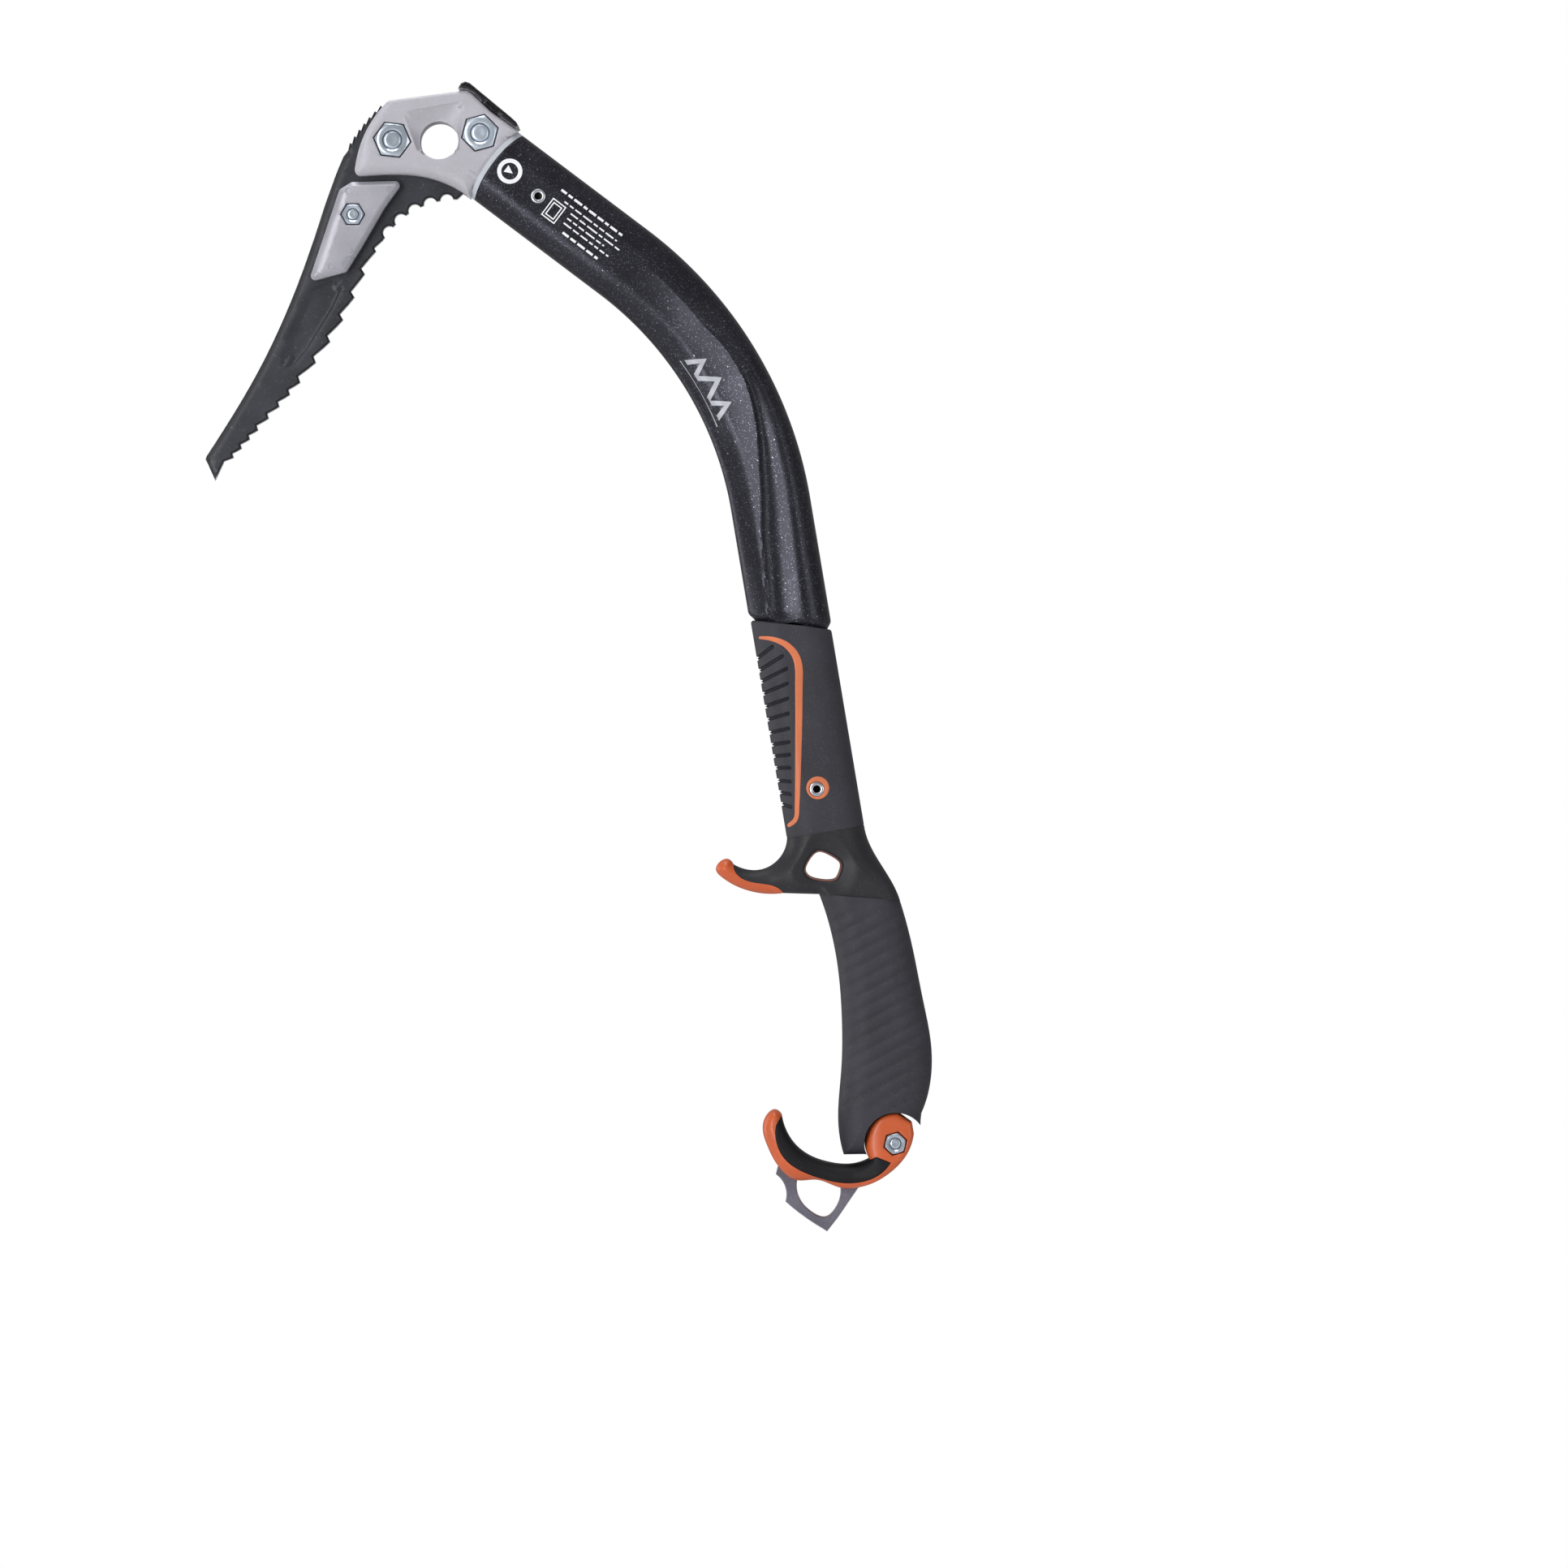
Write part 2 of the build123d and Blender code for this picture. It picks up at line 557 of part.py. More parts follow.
# ---------------------------------------------------------------- handle core
parting_point = along(bend_end, low_dir, parting_at)
parting_front = along(parting_point, low_side, -grip_depth / 2)
parting_rear = along(parting_point, low_side, grip_depth / 2)
core_top_plane = cross_plane(along(shaft_end, low_dir, -core_tenon_length), low_dir)
core_bar_length = core_tenon_length + parting_at - lower_length + core_overlap
core_inset = shaft_wall + tenon_gap
core_bar = section(core_top_plane, neck_depth - 2 * core_inset, neck_width - 2 * core_inset,
                   neck_width / 2 - core_inset - core_corner_flat)
core_front = [(150.0, -285.5), (149.0, -293.0), (147.0, -301.5), (151.0, -307.5), (162.5, -311.5),
              (168.5, -335.0), (171.5, -360.0), (175.5, -385.0), (178.6, -399.0)]
core_rear = [(195.6, -396.0), (197.6, -384.0), (196.4, -366.0), (190.5, -335.0), (182.0, -308.0),
             (175.6, -294.0), (172.5, -282.5)]
ear_lean = 108.5                              # degrees, direction of the ears from the pivot


def ear_bar(half_width, reach, lean=0.0):
    """A straight bar from the pivot up into the lower grip, turned this many degrees."""
    turned = radians(ear_lean + lean)
    forward = (cos(turned), sin(turned))
    sideways = (-forward[1], forward[0])
    far = along(pivot_at, forward, reach)
    return [along(pivot_at, sideways, half_width), along(far, sideways, half_width),
            along(far, sideways, -half_width), along(pivot_at, sideways, -half_width)]


trigger_hole_corners = [(157.0, -292.6), (167.0, -298.0), (164.4, -305.2), (160.4, -306.0),
                        (152.6, -304.5), (150.4, -301.0), (154.2, -294.6)]
with BuildSketch(side_plane(0)) as trigger_hole:
    add(outline(trigger_hole_corners, 0, trigger_hole_r))
with BuildSketch(side_plane(0)) as trigger_hole_in_core:
    add(outline(trigger_hole_corners, 0, trigger_hole_r))
    offset(amount=trigger_hole_lining, mode=Mode.REPLACE)

core_half = core_thickness / 2
fork_half = fork_gap / 2
with BuildPart() as handle_core:
    extrude(core_bar, amount=core_bar_length)
    extrude(outline(core_front + core_rear), amount=core_half, both=True)
    extrude(outline(ear_bar(ear_r, ear_length)), amount=core_half, both=True)
    extrude(disc(pivot_at, ear_r), amount=core_half, both=True)
    extrude(trigger_hole_in_core.sketch, amount=neck_width, both=True, mode=Mode.SUBTRACT)
    extrude(disc(pivot_at, bush_r), amount=core_thickness, both=True, mode=Mode.SUBTRACT)
    fork_root = outline(ear_bar(ear_r + fork_root_margin, fork_root_reach))
    extrude(fork_root, amount=fork_half, both=True, mode=Mode.SUBTRACT)
    extrude(disc(pivot_at, ear_r + fork_eye_margin), amount=fork_half, both=True,
            mode=Mode.SUBTRACT)
    extrude(disc(handle_rivet_at, rivet_shank_r + thread_gap), amount=shaft_width, both=True,
            mode=Mode.SUBTRACT)
handle_core.part.label = "handle_core"
export_step(handle_core.part, "parts/handle_core.step")

with BuildPart() as pivot_bushes:
    for side in (-1, 1):
        extrude(disc(pivot_at, bush_r, side * fork_half), amount=-side * (core_half - fork_half))
    extrude(disc(pivot_at, pivot_bolt_r + pivot_running_gap), amount=core_thickness, both=True,
            mode=Mode.SUBTRACT)
pivot_bushes.part.label = "pivot_bushes"
export_step(pivot_bushes.part, "parts/pivot_bushes.step")

# ---------------------------------------------------------------- upper grip and its inlays
grip_plane = cross_plane(parting_point, low_dir)
grip_face = section(grip_plane, grip_depth, grip_width, grip_corner_r)
grip_reach = 100.0
top_edge_dir = (cos(radians(grip_top_slope)), sin(radians(grip_top_slope)))
above_grip = outline([along(grip_top_at, top_edge_dir, 30), along(grip_top_at, top_edge_dir, -30),
                      (110, -160), (190, -160)])


def grip_bar(growth):
    """The grip's outer body, its side walls moved out by this much."""
    with BuildPart() as bar:
        extrude(section(grip_plane, grip_depth + 2 * growth, grip_width + 2 * growth,
                        grip_corner_r + growth), amount=-grip_reach)
        extrude(above_grip, amount=grip_width, both=True, mode=Mode.SUBTRACT)
    return bar.part


inlay_route = [(133.0, -205.4), (138.5, -206.2), (144.0, -208.8), (147.6, -213.0),
               (148.8, -218.5), (148.6, -232.0)]
with BuildSketch(side_plane(0)) as stripe:
    with BuildLine():
        Spline(*inlay_route)
        Polyline(inlay_route[-1], (147.9, -279.0), (146.4, -280.9), (141.9, -283.2))
    trace(line_width=inlay_stroke)

inlay_floor = grip_bar(-inlay_depth)
inlay_top = grip_bar(inlay_proud)
ring_face = disc(rivet_ring_at, rivet_ring_r)
rivet_hole_r = rivet_flange_r + 2 * thread_gap


def inlay_piece(face, side):
    """The part of a side outline that lies between the inlay's floor and its proud surface."""
    with BuildPart() as piece:
        extrude(face, amount=-side * grip_width)
        add(inlay_top, mode=Mode.INTERSECT)
        add(inlay_floor, mode=Mode.SUBTRACT)
    return piece.part


inlay_parts = []
for side_name, side in (("left", -1), ("right", 1)):
    with BuildPart() as grip_inlay:
        add(inlay_piece(stripe.sketch, side))
    grip_inlay.part.label = "grip_inlay_" + side_name
    export_step(grip_inlay.part, "parts/grip_inlay_" + side_name + ".step")
    with BuildPart() as rivet_ring:
        add(inlay_piece(ring_face, side))
        extrude(disc(handle_rivet_at, rivet_hole_r), amount=grip_width, both=True,
                mode=Mode.SUBTRACT)
    rivet_ring.part.label = "rivet_ring_" + side_name
    export_step(rivet_ring.part, "parts/rivet_ring_" + side_name + ".step")
    inlay_parts += [grip_inlay.part, inlay_piece(ring_face, side)]

with BuildPart() as upper_grip:
    add(grip_bar(0.0))
    add(skin, mode=Mode.SUBTRACT)
    add(handle_core.part, mode=Mode.SUBTRACT)
    for inlay in inlay_parts:
        add(inlay, mode=Mode.SUBTRACT)
    for index in range(rib_count):
        rib_foot = along(parting_front, low_dir, -first_rib_at - index * rib_pitch)
        rib_top = along(rib_foot, low_dir, -rib_height)
        groove = [along(rib_foot, low_side, -rib_overcut), along(rib_foot, low_side, rib_depth),
                  along(rib_top, low_side, rib_depth), along(rib_top, low_side, -rib_overcut)]
        extrude(outline(groove), amount=grip_width, both=True, mode=Mode.SUBTRACT)
    extrude(disc(handle_rivet_at, rivet_hole_r), amount=grip_width, both=True,
            mode=Mode.SUBTRACT)
upper_grip.part.label = "upper_grip"
export_step(upper_grip.part, "parts/upper_grip.step")

# ---------------------------------------------------------------- rivets
with BuildPart() as head_rivets:
    for side in (-1, 1):
        add(blind_rivet(head_rivet_point, side * shaft_width / 2, side, head_rivet_length))
head_rivets.part.label = "head_rivets"
export_step(head_rivets.part, "parts/head_rivets.step")

with BuildPart() as handle_rivets:
    for side in (-1, 1):
        flange_y = side * (grip_width / 2 - rivet_flange_height + rivet_proud)
        add(blind_rivet(handle_rivet_at, flange_y, side, handle_rivet_length))
handle_rivets.part.label = "handle_rivets"
export_step(handle_rivets.part, "parts/handle_rivets.step")

# ---------------------------------------------------------------- trigger
hook_upper = [parting_front, (142.4, -293.6), (138.6, -298.4), (132.8, -301.2), (126.4, -301.0),
              (121.6, -299.0)]
colour_line = [(121.6, -299.0), (122.6, -302.6), (126.4, -305.5), (132.4, -306.9),
               (138.2, -308.0), (142.3, -310.9)]
hook_lower = [(142.3, -310.9), (134.0, -311.1), (125.0, -309.0), (117.2, -304.7),
              (114.3, -301.0), (117.8, -296.9), (121.6, -299.0)]
trigger_base_front = (157.0, -311.3)
trigger_base_rear = (190.4, -313.8)
with BuildSketch(side_plane(0)) as trigger_face:
    with BuildLine():
        Spline(*hook_upper)
        Spline(*colour_line)
        Polyline(colour_line[-1], trigger_base_front, trigger_base_rear)
        Spline(trigger_base_rear, (184.2, -301.5), (178.4, -291.6), parting_rear)
        Line(parting_rear, parting_front)
    make_face()
with BuildSketch(side_plane(0)) as tip_face:
    with BuildLine():
        Spline(*colour_line)
        Spline(*hook_lower)
    make_face()

hook_root_x = 146.0                           # the hook's thinner moulding ends here
hook_side_trim = [(100, -280), (parting_front[0] - 1.4, -280), (142.6, -293.0),
                  (hook_root_x, -301), (hook_root_x + 4, -330), (100, -330)]
with BuildPart() as trigger_cover:
    extrude(trigger_face.sketch, amount=trigger_width / 2, both=True)
    for side in (-1, 1):
        extrude(outline(hook_side_trim, side * trigger_hook_width / 2),
                amount=-side * trigger_width, mode=Mode.SUBTRACT)
    add(handle_core.part, mode=Mode.SUBTRACT)
    extrude(core_bar, amount=core_bar_length, mode=Mode.SUBTRACT)
    extrude(trigger_hole.sketch, amount=trigger_width, both=True, mode=Mode.SUBTRACT)
trigger_cover.part.label = "trigger_cover"
export_step(trigger_cover.part, "parts/trigger_cover.step")

with BuildPart() as trigger_tip:
    extrude(tip_face.sketch, amount=trigger_hook_width / 2, both=True)
trigger_tip.part.label = "trigger_tip"
export_step(trigger_tip.part, "parts/trigger_tip.step")

# ---------------------------------------------------------------- lower grip
toe = (167.2, -419.0)
with BuildSketch(side_plane(0)) as lower_grip_face:
    with BuildLine():
        Spline(trigger_base_front, (161.2, -324.0), (164.8, -342.0), (166.4, -362.0),
               (166.2, -384.0), (164.9, -404.0), toe)
        Polyline(toe, (182.0, -419.0), (199.0, -412.0), (199.3, -402.0))
        Spline((199.3, -402.0), (203.2, -388.0), (203.4, -374.0), (199.8, -354.0),
               (195.6, -333.0), trigger_base_rear)
        Line(trigger_base_rear, trigger_base_front)
    make_face()
with BuildPart() as lower_grip:
    extrude(lower_grip_face.sketch, amount=lower_grip_width / 2, both=True)
    for rim_face in (lower_grip.faces().sort_by(Axis.Y)[0], lower_grip.faces().sort_by(Axis.Y)[-1]):
        chamfer(rim_face.outer_wire().edges(), lower_grip_bevel)
    extrude(disc(pivot_at, knuckle_r + knuckle_gap), amount=lower_grip_width, both=True,
            mode=Mode.SUBTRACT)
    add(handle_core.part, mode=Mode.SUBTRACT)
lower_grip.part.label = "lower_grip"
export_step(lower_grip.part, "parts/lower_grip.step")

# ---------------------------------------------------------------- griprest
cradle = [(141.6, -402.6), (143.4, -409.0), (147.4, -415.2), (153.2, -419.6), (160.4, -422.2),
          (168.6, -423.2), (177.2, -421.2)]
lining_edge = [(139.2, -406.5), (139.4, -414.0), (142.6, -420.4), (150.7, -426.1),
               (158.6, -429.0), (167.6, -430.6), (176.4, -429.6), (183.6, -425.6),
               (186.6, -421.9)]


def shifted(points, distance):
    """Points of a curve moved square to it, to the right of its direction."""
    moved = []
    for index, point in enumerate(points):
        before = points[max(index - 1, 0)]
        after = points[min(index + 1, len(points) - 1)]
        run = (after[0] - before[0], after[1] - before[1])
        size = (run[0] ** 2 + run[1] ** 2) ** 0.5
        moved.append((point[0] + run[1] / size * distance, point[1] - run[0] / size * distance))
    return moved


hook_tip = [(139.2, -406.5), (138.4, -400.6), (141.6, -402.6)]
shell_outer = [(141.6, -402.6), (138.4, -400.6), (134.2, -405.0), (135.4, -414.9),
               (140.2, -423.9), (148.0, -429.6), (156.0, -429.4), (165.5, -432.6),
               (175.4, -432.0), (184.4, -427.6), (192.6, -419.6), (196.1, -410.0)]
knuckle_top = at_angle(pivot_at, knuckle_r, 84.5)
knuckle_corner = at_angle(pivot_at, knuckle_r - knuckle_corner_drop, 49.9)
knuckle_left = at_angle(pivot_at, knuckle_r, 215.0)
with BuildSketch(side_plane(0)) as shell_face:
    with BuildLine():
        Spline(*shell_outer)
        Polyline(shell_outer[-1], knuckle_corner, knuckle_top)
        ThreePointArc(knuckle_top, (pivot_at[0] - knuckle_r, pivot_at[1]), knuckle_left)
        Polyline(knuckle_left, cradle[-1])
        Spline(*cradle)
    make_face()
with BuildSketch(side_plane(0)) as pad_face:
    with BuildLine():
        Spline(*lining_edge)
        Polyline(lining_edge[-1], (180.6, -419.5), cradle[-1])
        Spline(*cradle)
        Line(cradle[0], lining_edge[0])
    make_face()
web_top = shifted(cradle, pad_cover)
with BuildSketch(side_plane(0)) as web_face:
    with BuildLine():
        Spline(*web_top)
        Polyline(web_top[-1], (179.0, -418.0), (192.0, -416.0), (192.0, -436.0), (130.0, -436.0),
                 (134.0, -404.0), web_top[0])
    make_face()
with BuildPart() as pad_body:
    extrude(pad_face.sketch, amount=griprest_hook_width / 2, both=True)
    extrude(web_face.sketch, amount=web_width / 2, both=True, mode=Mode.SUBTRACT)

with BuildSketch(side_plane(0)) as spike_face:
    with BuildLine():
        ThreePointArc((139.1, -427.3), (143.0, -432.6), (143.1, -438.6))
        ThreePointArc((143.1, -438.6), (150.8, -444.8), (159.2, -450.2))
        Polyline((159.2, -450.2), (160.3, -451.0), (164.8, -445.3), (173.2, -433.0),
                 (184.6, -424.4), (192.6, -418.2))
        Polyline((192.6, -418.2), pivot_at, (184.0, -418.2), (178.0, -424.4), (168.0, -427.4),
                 (157.0, -426.4), (147.0, -421.6), (139.9, -424.1), (139.1, -427.3))
    make_face()
with BuildSketch(side_plane(0)) as spike_hole:
    with BuildLine():
        Spline((148.2, -429.0), (149.2, -437.6), (154.6, -443.2), (159.6, -444.8),
               (163.6, -441.4), (165.8, -435.6), (165.2, -430.0))
        Line((165.2, -430.0), (148.2, -429.0))
    make_face()
with BuildPart() as spike:
    extrude(spike_face.sketch, amount=spike_thickness / 2, both=True)
    extrude(disc(pivot_at, ear_r), amount=spike_thickness / 2, both=True)
    extrude(spike_hole.sketch, amount=spike_thickness, both=True, mode=Mode.SUBTRACT)
    extrude(disc(pivot_at, pivot_bolt_r + thread_gap), amount=spike_thickness, both=True,
            mode=Mode.SUBTRACT)
spike.part.label = "spike"
export_step(spike.part, "parts/spike.step")

ear_room = core_half + side_gap
hook_side_zone = [(120, -395), (172.0, -395), (177.5, -421.0), (181.0, -440), (120, -440)]
with BuildPart() as griprest_shell:
    extrude(shell_face.sketch, amount=griprest_width / 2, both=True)
    for rim_face in (griprest_shell.faces().sort_by(Axis.Y)[0],
                     griprest_shell.faces().sort_by(Axis.Y)[-1]):
        chamfer(rim_face.outer_wire().edges(), griprest_bevel)
    for side in (-1, 1):
        extrude(outline(hook_side_zone, side * griprest_hook_width / 2),
                amount=-side * griprest_width, mode=Mode.SUBTRACT)
    add(pad_body.part, mode=Mode.SUBTRACT)
    for lean in (-griprest_swing, 0, griprest_swing):
        extrude(outline(ear_bar(ear_r + ear_clearance, ear_room_length, lean)), amount=ear_room,
                both=True, mode=Mode.SUBTRACT)
    extrude(disc(pivot_at, ear_r + ear_clearance), amount=ear_room, both=True,
            mode=Mode.SUBTRACT)
    add(spike.part, mode=Mode.SUBTRACT)
    for side in (-1, 1):
        pocket_y = side * (griprest_width / 2 - pivot_pocket_depth)
        extrude(hexagon(pivot_at, pivot_nut_across_flats + 2 * nut_pocket_gap, pivot_nut_turn,
                        pocket_y),
                amount=-side * cut_reach, mode=Mode.SUBTRACT)
    extrude(disc(pivot_at, pivot_bolt_r + thread_gap), amount=griprest_width, both=True,
            mode=Mode.SUBTRACT)
griprest_shell.part.label = "griprest_shell"
export_step(griprest_shell.part, "parts/griprest_shell.step")

with BuildPart() as griprest_pad:
    add(pad_body.part)
    for lean in (-griprest_swing, 0, griprest_swing):
        extrude(outline(ear_bar(ear_r + ear_clearance, ear_room_length, lean)), amount=ear_room,
                both=True, mode=Mode.SUBTRACT)
    extrude(disc(pivot_at, ear_r + ear_clearance), amount=ear_room, both=True,
            mode=Mode.SUBTRACT)
griprest_pad.part.label = "griprest_pad"
export_step(griprest_pad.part, "parts/griprest_pad.step")

pivot_seat_y = griprest_width / 2 - pivot_pocket_depth
with BuildPart() as griprest_bolt:
    add(hex_bolt(pivot_at, pivot_nut_across_flats, pivot_nut_turn, pivot_seat_y,
                 pivot_nut_height, pivot_bolt_r,
                 -pivot_seat_y - pivot_nut_height + small_bolt_inset))
griprest_bolt.part.label = "griprest_bolt"
export_step(griprest_bolt.part, "parts/griprest_bolt.step")

with BuildPart() as griprest_nut:
    add(hex_nut(pivot_at, pivot_nut_across_flats, pivot_nut_turn, -pivot_seat_y,
                pivot_nut_height, pivot_bolt_r + thread_gap, -1))
griprest_nut.part.label = "griprest_nut"
export_step(griprest_nut.part, "parts/griprest_nut.step")
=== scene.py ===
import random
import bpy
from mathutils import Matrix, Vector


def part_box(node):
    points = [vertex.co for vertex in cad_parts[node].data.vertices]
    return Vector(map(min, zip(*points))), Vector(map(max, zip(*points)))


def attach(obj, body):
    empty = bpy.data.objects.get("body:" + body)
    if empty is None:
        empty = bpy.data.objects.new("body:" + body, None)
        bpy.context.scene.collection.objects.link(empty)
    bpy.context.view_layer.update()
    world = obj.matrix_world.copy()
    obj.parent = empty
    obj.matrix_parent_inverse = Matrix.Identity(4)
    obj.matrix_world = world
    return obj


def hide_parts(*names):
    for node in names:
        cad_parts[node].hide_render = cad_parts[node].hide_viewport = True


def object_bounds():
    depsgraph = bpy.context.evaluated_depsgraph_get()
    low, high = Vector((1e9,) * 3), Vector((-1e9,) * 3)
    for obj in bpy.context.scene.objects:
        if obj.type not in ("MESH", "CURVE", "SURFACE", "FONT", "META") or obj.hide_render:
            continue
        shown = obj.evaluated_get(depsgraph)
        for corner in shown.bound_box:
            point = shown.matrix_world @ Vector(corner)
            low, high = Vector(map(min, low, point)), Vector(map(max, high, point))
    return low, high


bl_info = {
    "name": "Ice Axe",
    "version": (1, 0, 0),
    "blender": (4, 5, 0),
    "location": "View3D > Sidebar > Ice Axe",
    "description": "Builds the visible pieces, finishes and studio of a technical ice axe",
    "category": "Object",
}

from math import atan2, ceil, cos, pi, radians, sin, tan

import bmesh
import bpy
import numpy as np
from bpy.props import FloatProperty, FloatVectorProperty, IntProperty, PointerProperty
from mathutils import Vector
from mathutils.geometry import delaunay_2d_cdt

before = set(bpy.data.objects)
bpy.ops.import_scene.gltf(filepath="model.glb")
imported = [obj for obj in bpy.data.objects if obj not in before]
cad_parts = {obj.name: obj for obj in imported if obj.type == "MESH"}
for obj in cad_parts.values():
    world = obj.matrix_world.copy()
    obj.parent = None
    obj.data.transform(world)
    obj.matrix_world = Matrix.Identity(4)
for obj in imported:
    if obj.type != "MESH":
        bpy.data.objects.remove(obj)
cad_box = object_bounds()

MM = 0.001                      # the shapes below are worked out in millimetres
AXE = "axe"
GRIPREST = "griprest"


# ---------------------------------------------------------------- flat outlines
def sized(node, axis):
    """A CAD node's size along an axis, in millimetres."""
    low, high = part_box(node)
    return (high[axis] - low[axis]) / MM


def middle(node):
    """The middle of a CAD node in the side plane, in millimetres."""
    low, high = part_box(node)
    return np.array([(low.x + high.x) / 2, (low.z + high.z) / 2]) / MM


def area(loop):
    x, z = loop.T
    return 0.5 * float(np.sum(x * np.roll(z, -1) - np.roll(x, -1) * z))


def chained(pairs, tolerance=0.004):
    """Closed loops from loose segments whose ends meet."""
    ends = {}
    for index, pair in enumerate(pairs):
        for point in pair:
            ends.setdefault(tuple(np.round(point / tolerance).astype(int)), []).append(index)
    used = set()
    loops = []

    def neighbours(point):
        cell = np.round(point / tolerance).astype(int)
        for dx in (-1, 0, 1):
            for dz in (-1, 0, 1):
                for index in ends.get((cell[0] + dx, cell[1] + dz), ()):
                    if index not in used:
                        return index
        return None

    for first in range(len(pairs)):
        if first in used:
            continue
        used.add(first)
        loop = [pairs[first][0], pairs[first][1]]
        following = neighbours(loop[-1])
        while following is not None:
            used.add(following)
            a, b = pairs[following]
            nearer_a = np.sum((a - loop[-1]) ** 2) < np.sum((b - loop[-1]) ** 2)
            loop.append(b if nearer_a else a)
            following = neighbours(loop[-1])
        if len(loop) > 3:
            loops.append(np.array(loop[:-1]))
    return loops


def section_loops(node, y):
    """The outlines where a plane at this Y cuts a CAD node, the largest first."""
    bm = bmesh.new()
    bm.from_mesh(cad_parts[node].data)
    everything = bm.verts[:] + bm.edges[:] + bm.faces[:]
    cut = bmesh.ops.bisect_plane(bm, geom=everything, dist=1e-7, plane_co=(0, y * MM, 0),
                                 plane_no=(0, 1, 0))["geom_cut"]
    pairs = []
    for item in cut:
        if isinstance(item, bmesh.types.BMEdge):
            a, b = (np.array([v.co.x, v.co.z]) / MM for v in item.verts)
            if np.sum((a - b) ** 2) > 1e-8:
                pairs.append((a, b))
    bm.free()
    return sorted(chained(pairs), key=lambda loop: -abs(area(loop)))


def turned_to(loop, sign):
    return loop if area(loop) * sign > 0 else loop[::-1]


def spaced(loop, step, closed=True, merge=0.08):
    """The loop with near-double points merged and long sides divided."""
    kept = [loop[0]]
    for point in loop[1:]:
        if np.hypot(*(point - kept[-1])) > merge:
            kept.append(point)
    if closed and np.hypot(*(kept[0] - kept[-1])) < merge:
        kept.pop()
    points = []
    ends = kept[1:] + kept[:1] if closed else kept[1:]
    for a, b in zip(kept, ends):
        parts = max(1, ceil(np.hypot(*(b - a)) / step))
        points += [a + (b - a) * k / parts for k in range(parts)]
    if not closed:
        points.append(kept[-1])
    return np.array(points)


def sides_of(*loops):
    """The segments of some closed loops, as an array of point pairs."""
    return np.concatenate([np.stack([loop, np.roll(loop, -1, axis=0)], axis=1) for loop in loops])


def away_from(sides, lines, tolerance=0.25):
    """The segments that don't lie on any of these straight lines."""
    kept = np.ones(len(sides), bool)
    centres = sides.mean(axis=1)
    for line in lines:
        kept &= edge_distance(centres, np.array([line], float)) > tolerance
    return sides[kept]


def edge_distance(points, sides):
    """How far each point is from the nearest of some segments."""
    result = np.empty(len(points))
    a, b = sides[:, 0], sides[:, 1]
    run = b - a
    size = np.maximum((run ** 2).sum(axis=1), 1e-12)
    for start in range(0, len(points), 3000):
        p = points[start:start + 3000, None, :]
        t = np.clip(((p - a) * run).sum(axis=2) / size, 0, 1)
        gap = p - (a + t[..., None] * run)
        result[start:start + 3000] = np.sqrt((gap ** 2).sum(axis=2).min(axis=1))
    return result


def inside(points, loop):
    """Which points lie inside a closed loop."""
    result = np.empty(len(points), bool)
    a, b = loop, np.roll(loop, -1, axis=0)
    rise = np.where(np.abs(b[:, 1] - a[:, 1]) < 1e-12, 1e-12, b[:, 1] - a[:, 1])
    for start in range(0, len(points), 3000):
        x = points[start:start + 3000, 0, None]
        z = points[start:start + 3000, 1, None]
        crosses = (a[:, 1] > z) != (b[:, 1] > z)
        at = a[:, 0] + (z - a[:, 1]) / rise * (b[:, 0] - a[:, 0])
        result[start:start + 3000] = (crosses & (x < at)).sum(axis=1) % 2 == 1
    return result


def signed_distance(points, loop):
    """Distance from a closed loop, negative inside it."""
    gap = edge_distance(points, sides_of(loop))
    return np.where(inside(points, loop), -gap, gap)


def moved_in(loop, distance):
    """The loop moved to the left of its direction, with mitred corners."""
    before = loop - np.roll(loop, 1, axis=0)
    after = np.roll(loop, -1, axis=0) - loop
    normals = []
    for run in (before, after):
        length = np.maximum(np.hypot(run[:, 0], run[:, 1]), 1e-9)
        normals.append(np.stack([-run[:, 1] / length, run[:, 0] / length], axis=1))
    both = normals[0] + normals[1]
    scale = np.maximum((both ** 2).sum(axis=1), 0.35)
    return loop + both * (2 * distance / scale)[:, None]


def smooth(low, high, value):
    t = np.clip((value - low) / (high - low), 0, 1)
    return t * t * (3 - 2 * t)


def softened(loop, rounds):
    """The loop evenly spaced, with its corners smoothed away."""
    loop = spaced(loop, 0.7)
    for _ in range(rounds):
        loop = loop * 0.5 + (np.roll(loop, 1, axis=0) + np.roll(loop, -1, axis=0)) * 0.25
    return loop


def circle(center, radius, count=72):
    angles = np.arange(count) * 2 * pi / count
    return np.stack([center[0] + radius * np.cos(angles), center[1] + radius * np.sin(angles)], 1)


def hexagon(center, across_flats, turn):
    angles = radians(turn) + np.arange(6) * pi / 3
    reach = across_flats / 2 / cos(pi / 6)
    return np.stack([center[0] + reach * np.cos(angles), center[1] + reach * np.sin(angles)], 1)


def round_rings(radius, count=7):
    """Insets that divide a rounded edge into equal turns."""
    return [radius * (1 - cos(pi / 2 * k / count)) for k in range(1, count + 1)]


def rounded_height(gap, full, radius):
    """Half thickness near an edge that is rounded to this radius."""
    t = np.clip(1 - gap / radius, 0, 1)
    return full - radius * (1 - np.sqrt(np.clip(1 - t * t, 0, 1)))


